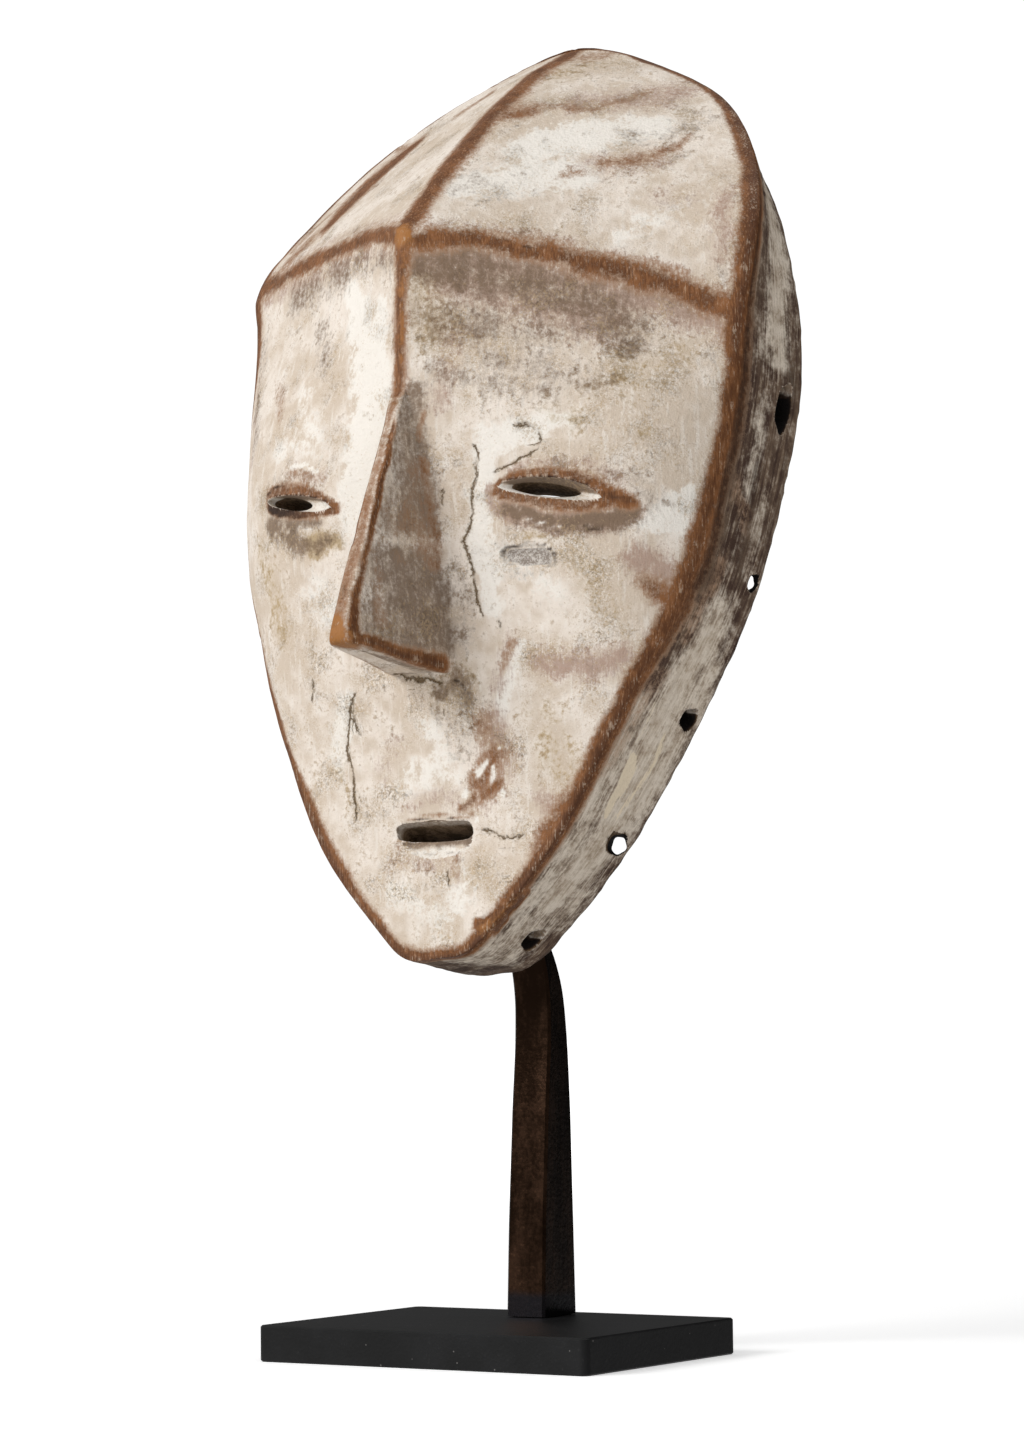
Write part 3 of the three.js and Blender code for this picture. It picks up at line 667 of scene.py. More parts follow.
mask = build_mesh("mask_carving", shell_points, shell_faces, as_marks(shell_place))
nose = build_mesh("nose_solid", nose_points, nose_faces, as_marks(nose_place))
tools = []
lip_scoop = bowl((1.2, -35.4, 157.2), (18.6, 5.9, 7.6))
for name, solids, cut_mark in (("openings", cutters, OPENING_MARK), ("lip_scoop", [lip_scoop], SCOOP_MARK)):
    points, faces = gather(solids)
    tools.append(build_mesh(name, points, faces, as_marks(np.full(len(points), cut_mark))))
for tool, operation in ((nose, "UNION"), (tools[0], "DIFFERENCE"), (tools[1], "DIFFERENCE")):
    cut = mask.modifiers.new(tool.name, "BOOLEAN")
    cut.solver = "MANIFOLD"
    cut.operation = operation
    cut.object = tool
bpy.context.view_layer.update()
carved = bpy.data.meshes.new_from_object(mask.evaluated_get(bpy.context.evaluated_depsgraph_get()))
mask.modifiers.clear()
mask.data = carved
carved.name = "mask_carving"
for tool in [nose] + tools:
    bpy.data.objects.remove(tool)


def read(mesh, kind, key, width=1, dtype=np.float32):
    """One value, or a few, for every vertex, edge or face, as an array."""
    source = getattr(mesh, kind)
    values = np.empty(len(source) * width, dtype)
    source.foreach_get(key, values)
    return values.reshape(-1, width) if width > 1 else values


def read_mark(mesh, key):
    """The value of a point attribute for every vertex, as an array."""
    values = np.empty(len(mesh.vertices), np.float32)
    mesh.attributes[key].data.foreach_get("value", values)
    return values


carved_points = read(carved, "vertices", "co", 3).astype(float) * 1000
carved_pairs = read(carved, "edges", "vertices", 2, np.int32)
place = read_mark(carved, "place")
old = read_mark(carved, "old")
born = old < 0.5
# A point that the cut made has no marks yet: it takes the mean of its old neighbours', three rings deep.
for _ in range(3):
    weight = mean_of_neighbours(old, carved_pairs)[:, 0]
    mean = mean_of_neighbours(place * old, carved_pairs)[:, 0]
    fresh = born & (old < 0.5) & (weight > 0)
    place[fresh] = (mean / np.maximum(weight, 1e-9))[fresh]
    old[fresh] = 1
scooped = place > SCOOP_MARK - 0.5
cut_wall = (place > OPENING_MARK - 0.5) & ~scooped
triangles = sum(len(p.vertices) - 2 for p in carved.polygons)
print("mask: %d points, %d of them new at the cuts" % (len(carved_points), born.sum()))
print("mask: %d triangles" % triangles)

# %% [markdown]
# ## Where the clay has gone
#
# White clay stays where nobody touches it and leaves where hands and cloth do. So the finish is mapped as
# the maker of a replica would map it: strokes of wear and dirt, and some of painted shade, each a path over
# the surface in millimetres with a half width along it, painted on at a given strength. The paths' edges
# are bent by the same smooth lumps as the form, so that no stroke looks drawn. The values go into the mesh
# as point attributes, and the material reads them and breaks them up further with grain and pores.

# %% Strokes
def reach(points, path):
    """How near each point lies to a path, in half widths: the least of |p - q| / w over the path's straight
    pieces, with q the nearest place on a piece and w the half width there. A path row is a point and its
    w."""
    path = np.asarray(path, float)
    if len(path) == 1:
        path = np.repeat(path, 2, axis=0)
    best = np.full(len(points), 9.0)
    for a, b in zip(path[:-1], path[1:]):
        way = (b - a)[:-1]
        t = np.clip((points - a[:-1]) @ way / max(way @ way, 1e-9), 0, 1)
        gap = np.linalg.norm(points - a[:-1] - t[:, None] * way, axis=1)
        best = np.minimum(best, gap / (a[-1] + t * (b[-1] - a[-1])))
    return best


def paint(points, strokes, start=0.0, end=1.8):
    """The strongest of the strokes at each point: strength * fade(start, end, reach). The edge is soft,
    and the material frays it with its own grain."""
    value = np.zeros(len(points))
    for strength, path in strokes:
        value = np.maximum(value, strength * fade(start, end, reach(points, path)))
    return value


WALL_DEPTH = 38               # mm, the nominal way across the side wall
px, py, pz = carved_points.T
bend = np.stack([1.6 * lumps(carved_points, 12, 30 + k) + 1.0 * lumps(carved_points, 5, 40 + k)
                 for k in (0, 1)], -1)
on_face = carved_points[:, [0, 2]] + bend
on_wall = np.stack([pz, WALL_DEPTH * place], -1) + (3.0, 1.2) * bend
is_face = np.where(scooped, 1.0, fade(0.02, 0.08, place))
is_wall = soft_step(0.0, 0.05, place) * fade(1.9, 2.3, place)
right_wall = is_wall * (px > 0)
left_wall = is_wall * (px <= 0)
shares = (100 * is_face.mean(), 100 * is_wall.mean())
print("%.0f%% of the points lie on the face, %.0f%% on the side wall" % shares)

# %% [markdown]
# ## Worn edges
#
# Every fold of the mask shows a band of bare brown wood: the outline, the crest over the forehead, the
# brow, the ridge down to the nose and the nose's own edges. The brow's band lies just under its fold,
# because the overhang was rubbed from below. Each band is a path through the solid's own curves, so it
# follows the form.

# %% Bands along the folds
def fold_line(side, drop, steps=24):
    """The brow's fold on one side, as (x, z) pairs lowered by drop mm: z = 340 - sag(t), x = t * half
    width."""
    t = np.linspace(0, 1, steps)
    z = BROW_Z - brow_sag(t, BROW_Z, side)
    return np.stack([side * t * half_width(z), z - drop], -1)


def with_width(path, *widths):
    """Adds half widths to a path, read evenly along it from the few that are given."""
    path = np.asarray(path, float)
    spread = np.interp(np.linspace(0, 1, len(path)), np.linspace(0, 1, len(widths)), widths)
    return np.hstack([path, spread[:, None]])


outline_places = np.linspace(0, 1, 60)
outline = along(face_edge, outline_places)
inwards = np.array([0.975, 1, 1])
wear_right = with_width(outline * inwards, 3.4, 3.4, 3.6, 3.8, 4.2, 3.6, 4.0, 4.2, 3.8, 3.0, 2.0, 1.8)
wear_left = with_width(outline * MIRROR * inwards, 3.4, 3.8, 3.4, 3.0, 3.4, 4.0, 4.4, 4.6, 3.8, 2.6, 1.8)
crest = [(0, middle_depth(z), z, w)
         for z, w in ((341, 4.6), (352, 4.2), (365, 4.6), (383, 5.8), (398, 5.4), (414, 5.0))]
ridge = [(0, middle_depth(z), z, w) for z, w in ((291, 2.2), (305, 2.4), (325, 2.8), (341, 5.0))]
frays = [lumps(carved_points, 14, 60 + k) + 0.5 * lumps(carved_points, 6, 63 + k) for k in range(3)]
frayed = carved_points + 0.8 * np.stack(frays, -1)
wear = paint(frayed, [(1.0, wear_right), (0.95, wear_left), (0.86, crest), (0.8, ridge)])
brow = [(0.76, with_width(fold_line(1, 2.2), 4.0, 4.2, 4.4, 4.6, 4.8, 5.4)),
        (0.76, with_width(fold_line(-1, 1.6), 3.6, 3.6, 3.4, 3.8, 5.0))]
under_brow = [(0.8, with_width(fold_line(1, 8.5), 5, 7, 8, 8, 6)),
              (0.6, with_width(fold_line(-1, 7), 4, 5, 5, 5)),
              (0.5, with_width(fold_line(1, -2.5), 4, 4, 3, 3)),
              (0.5, with_width(fold_line(-1, -3), 4, 4, 4, 4))]
wear = np.maximum(wear, paint(on_face, brow) * is_face)


def on_nose_front(x_at_tip, x_at_root, back, *widths):
    """A path down the nose's front from the root to the tip, moved sideways by x and back by so many mm."""
    k = np.linspace(1, 0, 16)
    z = NOSE_TIP_Z + (NOSE_ROOT_Z - NOSE_TIP_Z) * k
    wide = np.interp(z, NOSE_FRONT_Z, [x_at_tip, 0.75 * x_at_tip, x_at_root])
    return with_width(np.stack([wide, ridge_depth(k) + back, z], -1), *widths)


nose_strip = on_nose_front(-0.5, 0, 0, 1.8, 2.2, 2.8, 3.3)
nose_wear = [(0.55, nose_strip), (0.8, on_nose_front(-4.6, -1.8, 1.2, 0.8, 1.2, 1.4, 1.8)),
             (1.0, on_nose_front(5.4, 1.8, 1.8, 0.6, 1.2, 1.6, 2.4)),
             (0.42, [(4.6, -62, 262, 1.6), (5.8, -66, 240, 2.6), (7.4, -66, 220, 4)]),
             (1.0, [(4.6, -78, 214.5, 2.2), (7.5, -60, 211.4, 2.4), (10.2, -41, 208.6, 3.6)]),
             (0.6, [(-4.6, -78, 214.5, 2), (-7.5, -60, 211.4, 2), (-10.2, -41, 208.6, 2)])]
wear = np.maximum(wear, paint(frayed, nose_wear))
print("bare wood shows on %.0f%% of the points" % (100 * (wear > 0.5).mean()))

# %% [markdown]
# ## Stains and smears
#
# The rest of the map is what a close look finds: bare patches by the mouth, over the eyes and at the rim,
# grey under the brow and beside the nose, partly grime and partly painted shade, thin pinkish places on the
# cheek, and fresh thick white down the forehead. On the face a path's points are (x, z), on the side wall
# (z, distance from the face). Each stroke is its strength and its path. BARE is wood, the grey strokes are
# grime and painted shade, THIN clay that lets the wood through, CHALK fresh white, OCHRE an earthy stain,
# DARK the blackest dirt, and FLAKES small crisp chips of white on top.

# %% Strokes on the face
BARE = [
    (0.62, [(2, 383, 5), (12, 384, 3)]), (0.42, [(1, 388, 3), (14, 386, 2.2), (27, 385, 2), (38, 391, 2)]),
    (0.52, [(40, 364, 2), (50, 364.6, 2.6), (57, 368, 2.6), (60, 374, 2)]),
    (0.36, [(32, 359, 2), (39, 361, 2)]), (0.45, [(72, 390, 3), (80, 372, 2.4), (84, 362, 2)]),
    (0.4, [(0, 408, 5), (14, 409, 3)]), (0.8, [(-46, 384, 5), (-54, 375, 8), (-60, 364, 8), (-62, 356, 5)]),
    (0.5, [(-68, 352, 5), (-78, 346, 4)]), (0.5, [(-60, 387, 3), (-46, 384, 3)]),
    (0.5, [(-30, 392, 3), (-22, 398, 3)]), (0.45, [(-80, 352, 3), (-70, 362, 3)]),
    (0.62, [(71, 231, 3), (74, 227, 4.5), (78, 224, 5)]),
    (0.64, [(37, 153, 3), (40, 159, 4.2), (45, 165.5, 4.4), (52, 173, 3)]),
    (0.5, [(-10, 163.4, 0.8), (-2, 163.8, 1.0), (6, 163.6, 1.0), (13, 164.4, 1.4)]),
    (0.64, [(9, 166.4, 1.6), (17, 169.4, 3.2), (23, 172, 3.4)]),
    (0.62, [(15, 173, 3), (20.6, 177, 5.0), (24, 182, 4.2)]), (0.5, [(20, 187, 3.4), (20, 193, 3)]),
    (0.4, [(32, 216, 2), (28, 209, 2)]), (0.85, [(62, 257, 3.0), (66, 256, 3.0), (68, 253.6, 2.6)]),
    (0.35, [(-50, 272, 1.6), (-38, 271, 2)]),
    (0.46, [(6.6, 270, 1.6), (7.4, 258, 2.6), (7.8, 248, 3.0), (8.2, 238, 2.0)]),
    (0.5, [(7.5, 284, 1.8), (6, 276, 1.6)]), (0.3, [(-14, 155, 3), (-16, 148, 3)]),
    (0.34, [(8, 152, 3), (9, 146, 2)]), (0.35, [(-64, 300, 4), (-60, 290, 3)])]
# Grey strokes. Those round the eyes are grime; the wash under the brow and the strokes down the nose's +X
# side and at its foot are painted shade as well as grime.
GRIME_AND_SHADE = [
    (0.45, [(30, 334, 8), (56, 324, 7), (76, 314, 5)]), (0.5, [(12, 296, 5), (30, 292, 6), (46, 288, 4)]),
    (0.75, [(8, 330, 9), (20, 327, 10), (36, 322, 9), (50, 318, 8)]), (0.6, [(8, 314, 9), (22, 309, 9)]),
    (0.7, [(53, 318, 6), (60, 311, 8), (64, 303, 6)]), (0.5, [(28, 300, 7), (45, 295, 8), (58, 290, 6)]),
    (0.45, [(40, 312, 14), (30, 302, 10)]), (0.55, [(-6, 332, 5), (-40, 334, 8), (-64, 330, 7)]),
    (0.45, [(-44, 318, 6), (-38, 302, 5)]), (0.45, [(-84, 318, 5), (-78, 285, 5)]),
    (0.8, [(5, 290, 5), (6, 270, 5), (7, 250, 5)]), (0.85, [(6, 240, 5), (8, 225, 6), (9, 214, 6)]),
    (0.45, [(14, 236, 6), (15, 218, 7)]), (0.8, [(6, 201, 4), (12, 203, 5), (15, 198, 4)]),
    (0.4, [(12, 192, 7), (-2, 200, 5)]),
    (1.0, [(33, 253.6, 2.6), (41, 251.4, 3.6), (50, 249.8, 3.4), (59, 249, 3.6), (67, 250.6, 4.4)]),
    (0.5, [(72, 255, 5), (70, 262, 4)]), (0.3, [(44, 269, 3), (64, 264, 4)]),
    (1.0, [(-60.5, 258, 2.6), (-56, 255.6, 4.2), (-50, 252.6, 5), (-45, 248.6, 4)]),
    (0.85, [(-50, 256.6, 3), (-36, 254.8, 2.2)]), (0.68, [(-38, 247.4, 3), (-32, 250.4, 2.4)]),
    (0.45, [(-62, 269, 3), (-40, 272, 3)]), (0.4, [(57, 297, 4), (62, 285, 3)]),
    (0.35, [(6, 358, 6), (19, 354, 7)]), (0.35, [(44, 372, 6), (64, 380, 6)]),
    (0.35, [(86, 330, 5), (84, 300, 5)]), (0.4, [(12, 186, 6), (20, 193, 5)]),
    (0.5, [(-8, 207, 3), (-3, 209, 3)]), (0.3, [(0, 408, 8), (18, 404, 8)]),
    (0.35, [(40, 236, 3), (34, 235, 3)])]
THIN = [
    (0.75, [(40, 209, 6), (53, 207, 7), (63, 210, 5)]), (0.8, [(70, 238, 6), (78, 229, 6)]),
    (0.65, [(39, 168, 5), (45, 158, 7)]), (0.6, [(31, 216, 4), (26, 203, 4)]),
    (0.75, [(23, 193, 5), (24, 178, 8), (18, 170, 7)]),
    (0.55, [(32, 266, 2), (44, 267.6, 2.6), (58, 266.4, 3.4), (66, 261, 3.4)]),
    (0.7, [(27.4, 261, 2.4), (28, 254, 3)]),
    (1.0, [(32, 253.6, 4.4), (46, 251, 4.6), (60, 250, 4.6), (68, 251, 4)]),
    (0.5, [(-10, 168, 3), (16, 170, 5)]), (0.6, [(-50, 272, 4), (-36, 270, 4)]),
    (0.65, [(20, 388, 6), (34, 388, 6), (50, 392, 7)]), (0.6, [(36, 364, 5), (56, 364, 6)]),
    (1.0, [(0, 320, 3), (0, 292, 3)]), (0.45, [(-18, 176, 5), (-14, 186, 5)]),
    (0.5, [(-13, 151, 4), (9, 148, 4)]), (0.55, [(16, 306, 6), (14, 296, 5), (12, 286, 5)]),
    (0.4, [(70, 348, 7), (62, 352, 5)]), (0.6, [(80, 350, 5), (84, 330, 4)]),
    (0.72, [(14, 324, 9), (34, 317, 10), (56, 312, 10)]), (0.5, [(-84, 306, 5), (-80, 280, 4)]),
    (0.4, [(50, 146, 6), (34, 134, 5)])]
CHALK = [
    (0.9, [(38, 252, 0.5), (45, 250.4, 0.6), (48, 249.4, 0.4)]),
    (1.0, [(-26, 325, 5), (-18, 310, 9), (-13, 290, 9), (-18, 270, 10), (-22, 256, 8)]),
    (0.8, [(-16, 250, 8), (-20, 226, 9)]), (0.9, [(-10, 318, 4), (-8, 290, 5)]),
    (0.5, [(-46, 296, 7), (-40, 282, 9), (-58, 280, 6)]), (0.3, [(-77, 316, 4)]),
    (0.85, [(27, 276, 5), (24, 257, 5), (24, 240, 5), (26, 226, 4)]),
    (0.9, [(31, 275, 5), (42, 278, 5), (50, 279, 4)]),
    (0.85, [(34, 215, 2.4), (28.5, 203, 3), (25, 192, 2.4)]),
    (0.9, [(8, 356, 5), (20, 358, 8), (36, 360, 7)]), (0.95, [(20, 371, 8), (34, 374, 8), (48, 377, 6)]),
    (0.5, [(50, 334, 4), (58, 342, 7), (68, 346, 6)]), (0.7, [(-30, 198, 6), (-36, 184, 6)]),
    (0.6, [(-24, 220, 6), (-40, 232, 8)]),
    (0.85, [(72.4, 247.5, 2.6), (76, 248, 5.2), (79.4, 255, 3.4), (81, 260.5, 1.4)]),
    (0.6, [(0, 190, 6), (6, 178, 8), (-8, 176, 6)]), (0.6, [(-14, 140, 6), (4, 132, 6), (14, 146, 5)]),
    (0.5, [(30, 240, 6), (44, 230, 6)]), (0.6, [(-2, 157, 2), (8, 152.4, 1.6), (14, 156, 1.6)]),
    (0.5, [(60, 206, 3), (70, 214, 3)])]
OCHRE = [
    (0.8, [(38, 246, 1.6), (43, 246.4, 1.6)]),
    (1.0, [(-41, 249.4, 3.4), (-35, 249.6, 4.2), (-30.4, 249.4, 3)]),
    (0.9, [(-42, 245.4, 2.4), (-36, 246, 2.6)]), (0.6, [(-66, 248, 6), (-62, 238, 7), (-56, 222, 6)]),
    (0.8, [(70, 276, 2.0)]), (0.3, [(-12, 139, 9), (0, 133, 8)]), (0.3, [(-40, 190, 8), (-30, 170, 7)]),
    (0.4, [(20, 342, 4), (40, 338, 4)]), (0.5, [(46, 178, 9), (38, 192, 9)]),
    (0.5, [(62, 292, 12), (50, 282, 9), (76, 300, 8)]), (0.5, [(8, 402, 6), (20, 406, 6)]),
    (0.7, [(8, 326, 8), (10, 310, 8)]), (0.6, [(14, 206, 5), (6, 200, 6)]),
    (0.45, [(50, 240, 8), (60, 226, 8)])]
DARK = [
    (0.6, [(-37, 249, 0.5), (-32, 249.6, 0.6), (-30, 247.4, 0.5)]),
    (0.5, [(-42, 246, 0.5), (-36, 244.6, 0.6)]), (0.7, [(55, 247.6, 0.9), (60, 247.4, 1.1)]),
    (0.6, [(63, 256.8, 1.6), (69, 254.6, 1.8)]), (0.4, [(36, 249.6, 0.8), (46, 248.6, 0.7)]),
    (0.8, [(-62, 266.4, 1.0), (-57, 268.6, 1.0), (-51, 269, 0.7)]),
    (0.8, [(33, 243.4, 0.6), (38, 244.2, 0.8), (43.4, 242.8, 0.6)]),
    (0.9, [(33, 335.2, 0.7), (35, 334, 0.6)]), (0.5, [(16, 318, 1.4), (20, 313, 1)]),
    (0.4, [(60, 310, 3), (62, 304, 3)]), (0.8, [(9.5, 203.2, 0.8), (13, 200.6, 0.8)]),
    (0.6, [(3, 188, 0.7)]), (0.55, [(76, 282, 0.7)]), (0.55, [(83, 284, 0.7)]), (0.55, [(65, 277.5, 0.8)]),
    (0.5, [(-8, 194, 0.6)]), (0.75, [(-12, 162.8, 0.5), (0, 163.0, 0.5), (12, 162.8, 0.5)])]

FLAKES = [
    (1.0, [(20.4, 180, 0.7), (18.8, 178.2, 0.8), (16.4, 176.2, 0.9)]), (1.0, [(16.2, 169, 0.7)]),
    (0.9, [(22.2, 178.4, 0.6), (21.8, 175.7, 0.9), (20.6, 173.4, 0.8)]), (1.0, [(11.4, 170, 1.5)]),
    (0.9, [(24.9, 169, 0.9), (24.4, 171.4, 0.7)]), (0.8, [(24.6, 183.6, 0.8)]), (1.0, [(15.3, 162.6, 1.1)]),
    (0.7, [(38, 251, 0.5), (44, 249.6, 0.8), (48.4, 248.8, 0.4)]),
    (0.6, [(35.2, 254.4, 0.4), (36.8, 252.2, 0.4)]),
    (0.55, [(53, 247.4, 0.5), (57, 247.8, 0.6), (61, 247.4, 0.4)]),
    (0.5, [(59, 252.6, 0.6), (63, 252, 0.4)]), (0.5, [(-58, 254, 0.4), (-54, 251, 0.5), (-50, 248, 0.4)]),
    (0.5, [(-56, 256.6, 0.4), (-50.6, 253, 0.5)]), (0.5, [(-45, 254.6, 0.8), (-40, 253.4, 0.9)]),
    (0.8, [(-50, 273.6, 0.8), (-42, 273.4, 1.0), (-37, 270.6, 0.8)]),
    (0.7, [(55, 168, 1.0), (56.4, 171, 0.8)]), (0.7, [(51.4, 160.6, 0.8)]), (0.7, [(63, 188, 0.9)])]


def lids(eye):
    """Signed distances in mm above and below the outline of an eye, and the place along it from -1 to 1: up
    is t - R * (1 - s^2)^(p/2), down is -t - D * (1 - s^2)^(p/2), with s along the eye and t across it."""
    x, z, turn, roll, length, rise, drop = eye
    middle, along_way, up_way, _ = frame_at((x, surface_at(x, z), z), turn, roll, 0)
    s = (carved_points - middle) @ along_way / (length / 2)
    t = (carved_points - middle) @ up_way
    half = np.clip(1 - s * s, 0, 1) ** (0.625 + 0.2 * soft_step(0.1, 1.0, s))
    return t - rise * half, -t - drop * half, s


wear = np.maximum(wear, paint(on_face, BARE) * is_face)
eye_dark = np.zeros(len(carved_points))
# An eye, how wide its upper and its lower lid are worn at its -X point, its middle and its +X point, in mm,
# and how dark it is under the lower one.
LIDS = [(EYES[0], (1.6, 2.6, 4.2), (3.0, 3.2, 3.6), 0.35),
        (EYES[1], (3.6, 4.2, 1.6), (2.6, 2.6, 1.8), 0.95)]
for eye, upper, lower, deepest in LIDS:
    above, below, s = lids(eye)
    top_width = np.interp(s, [-1, 0, 1], upper) + 0.35 * bend[:, 0]
    low_width = np.interp(s, [-1, 0, 1], lower) + 0.35 * bend[:, 1]
    top_lid = fade(0.7, 1.5, above / top_width) * (above > -1)
    low_lid = fade(0.7, 1.5, below / low_width) * (below > -1)
    lid = np.maximum(top_lid, low_lid)
    lid *= fade(1.0, 1.16, np.abs(s)) * is_face * (np.abs(py + 35) < 22)
    wear = np.maximum(wear, 0.66 * lid)
    # A thin dark line just above the opening's upper edge: painted shade, where the face turns down into
    # the eye.
    rim = np.exp(-((above - 0.1) / 0.45) ** 2) * fade(0.75, 1.0, np.abs(s)) * is_face
    under = fade(0.8, 1.4, below / low_width) * (below > -1)
    under = under * fade(0.9, 1.1, np.abs(s)) * is_face
    under_lid = deepest * under * (1 - 0.5 * soft_step(-0.6, 0.6, s))
    eye_dark = np.maximum(eye_dark, np.maximum(0.9 * rim, under_lid))
grime_and_shade, thin, chalk, ochre, dark = (
    paint(on_face, strokes) * is_face for strokes in (GRIME_AND_SHADE, THIN + under_brow, CHALK, OCHRE, DARK))
dark = np.maximum(dark, eye_dark)
flakes = paint(on_face - 0.6 * bend, FLAKES) * is_face
wear, thin, grime_and_shade, ochre = (value * (1 - 0.9 * flakes) for value in (wear, thin, grime_and_shade, ochre))
chalk = np.maximum(chalk, 1.2 * flakes)
on_nose = soft_step(2.5, 5, middle_depth(pz) - py) * (place < 0.5)
thin = np.maximum(thin, paint(frayed, [(0.8, nose_strip)]))
dark = np.maximum(dark,
                  paint(frayed, [(0.5, [(5.4, -70, 238, 1.2), (7, -70, 226, 2.4), (8, -66, 216, 3)])]))
# The nose's underside is painted grey all along, as the shade under the nose.
underside = paint(frayed, [(0.85, [(-2, -72, 211, 4), (3, -56, 208, 5), (4, -42, 205.5, 5)])])
grime_and_shade = np.maximum(grime_and_shade, underside)
grime_and_shade *= 1 - 0.8 * on_nose * (px < 0)
print("strokes on the face: %d" % sum(map(len, (BARE, GRIME_AND_SHADE, THIN, CHALK, OCHRE, DARK, FLAKES))))

# %% Strokes on the side wall
# The first stroke, just behind the face's edge, is dirt and painted shade where the wall turns away.
WALL_DARK = [(1.0, [(392, 0, 2), (360, 0.5, 3), (330, 1.5, 5), (300, 3, 5), (275, 4, 5.4), (250, 5, 6),
                    (228, 5, 6)]), (0.5, [(250, 10, 7), (240, 20, 8), (250, 30, 7)]),
             (0.7, [(226, 3, 4), (205, 1, 3), (180, 0, 2.4)]), (0.7, [(268, 20, 4), (228, 26, 4)]),
             (0.8, [(300, 31, 4), (288, 33, 5)]), (0.6, [(270, 34, 4), (225, 35, 3)])]
WALL_CLAY = [
    (0.75, [(352, 24, 7), (330, 26, 10), (306, 20, 7)]), (0.5, [(285, 15, 3), (262, 17, 3)]),
    (0.45, [(262, 26, 2), (232, 30, 3)]), (0.9, [(215, 20, 9), (190, 20, 11), (160, 22, 11), (140, 18, 9)]),
    (0.8, [(205, 32, 6), (170, 30, 7)]), (0.7, [(196, 6, 4), (176, 8, 6), (150, 10, 6), (134, 8, 5)]),
    (0.6, [(140, 30, 8), (128, 20, 10), (122, 8, 8)])]
WALL_CREAM = [
    (1.0, [(181, 15, 1.4), (176.5, 16.4, 2.6), (172, 17.4, 2.2), (167, 16, 1.0)]),
    (0.7, [(188, 22.4, 0.8), (180, 24, 1.4), (173, 24, 1.5), (166, 22.4, 1.0)]),
    (0.55, [(196, 12, 0.8), (184, 12.6, 0.8)])]
WALL_BARE = [(0.42, [(236, 12, 5), (218, 10, 4)]), (0.4, [(206, 8, 4), (180, 6, 3)]),
             (0.36, [(262, 10, 4), (250, 22, 4)]),
             (0.9, [(392, 0, 2), (360, 1, 3), (330, 2, 3.4), (300, 3, 4), (275, 3.6, 4.4), (250, 4, 4.4),
                    (228, 3.6, 4), (206, 2, 2)])]

# The -X side's wall gets the same strokes, moved 24 mm along it, so that the two sides are not twins.
shifted = on_wall + (-24, 2)
wall_dark, wall_clay, wall_cream, wall_bare = (
    paint(on_wall, strokes) * right_wall + paint(shifted, strokes) * left_wall
    for strokes in (WALL_DARK, WALL_CLAY, WALL_CREAM, WALL_BARE))
dark, chalk, ochre = dark + 0.75 * wall_dark, chalk + wall_clay, ochre + wall_cream
wear = np.maximum(wear, 0.8 * wall_bare)

# %% [markdown]
# ## Cracks
#
# Old wood checks along its grain, and the clay cracks with it. A crack is far finer than the mesh, so a
# distance alone would miss it between two points. Its signed distance does not: it runs straight through
# zero across the crack, and the material draws the line where it crosses. A second value tells how wide the
# crack is open, and is zero away from it, so that no other crossing shows.

# %% Cracks as signed distances
UPRIGHT = [(0.34, [(21.5, 276), (24, 271), (23, 263), (21, 257), (20.7, 249), (18.5, 245.5), (19.3, 240),
                   (20.2, 231), (22, 221)]),
           (0.36, [(-26, 204.5), (-29.3, 196), (-31.3, 188), (-29.3, 176), (-29.2, 170), (-27.8, 163)]),
           (0.24, [(-25, 199.5), (-27.6, 195), (-25.2, 189)]),
           (0.2, [(-43.6, 209.5), (-44, 204), (-45.6, 198)]),
           (0.22, [(27.2, 223.5), (27.6, 219), (27, 215)]), (0.3, [(5, 150.5), (5.2, 146), (6, 141.5)]),
           (0.3, [(43.9, 271.6), (43.6, 275), (42.4, 278)]),
           (0.26, [(12, 263.5), (11.2, 259), (12.6, 254.5)]),
           (0.24, [(8.2, 198.5), (6, 195), (8.4, 191.5)])]
LEVEL = [
    (0.32, [(27, 264.8), (30.4, 266.0), (33.9, 267.4), (36.9, 268.9), (40, 270.4), (43.9, 272.3)]),
    (0.28, [(14.7, 160.3), (20, 158.6), (25.2, 156.8), (33.8, 158.3)]),
    (0.4, [(-9.5, 207.4), (-6, 206.1), (-2.7, 205.2), (3, 204.9), (8.6, 203.4)]),
    (0.2, [(-61, 268), (-56, 271), (-52.5, 274.5)]),
    (0.26, [(33, 279), (36, 279.1), (40.6, 278.8), (42.8, 277.4)])]
side_of_crack = np.full(len(carved_points), 6.0)
open_crack = np.zeros(len(carved_points))
for cracks, up_axis, side_axis in ((UPRIGHT, 2, 0), (LEVEL, 0, 2)):
    for width, path in cracks:
        path = np.array(path)[:, ::-1] if up_axis == 2 else np.array(path)
        height = carved_points[:, up_axis]
        path = path[np.argsort(path[:, 0])]
        gap = carved_points[:, side_axis] - np.interp(height, path[:, 0], path[:, 1])
        gap += 0.7 * lumps(carved_points, 3.4, 56) + 0.8 * lumps(carved_points, 8, 57)
        inside = soft_step(0, 3, height - path[:, 0].min()) * soft_step(0, 3, path[:, 0].max() - height)
        here = (np.abs(gap) < 4) & (inside > 0) & (place < 0.5) & (np.abs(gap) < np.abs(side_of_crack))
        side_of_crack[here] = gap[here]
        open_crack[here] = width * inside[here] * fade(2.2, 4, np.abs(gap[here]))
side_of_crack = np.clip(side_of_crack, -4, 4)
print("%d cracks" % (len(UPRIGHT) + len(LEVEL)))

# %% [markdown]
# Some marks have depth, so they are dug into the mesh, each by its own number of millimetres: the cracks,
# the scar under an eye, and the insect tracks beside the chin. The worn bands lie a little lower than the
# clay beside them, and small pits are scattered over the face in crowds.

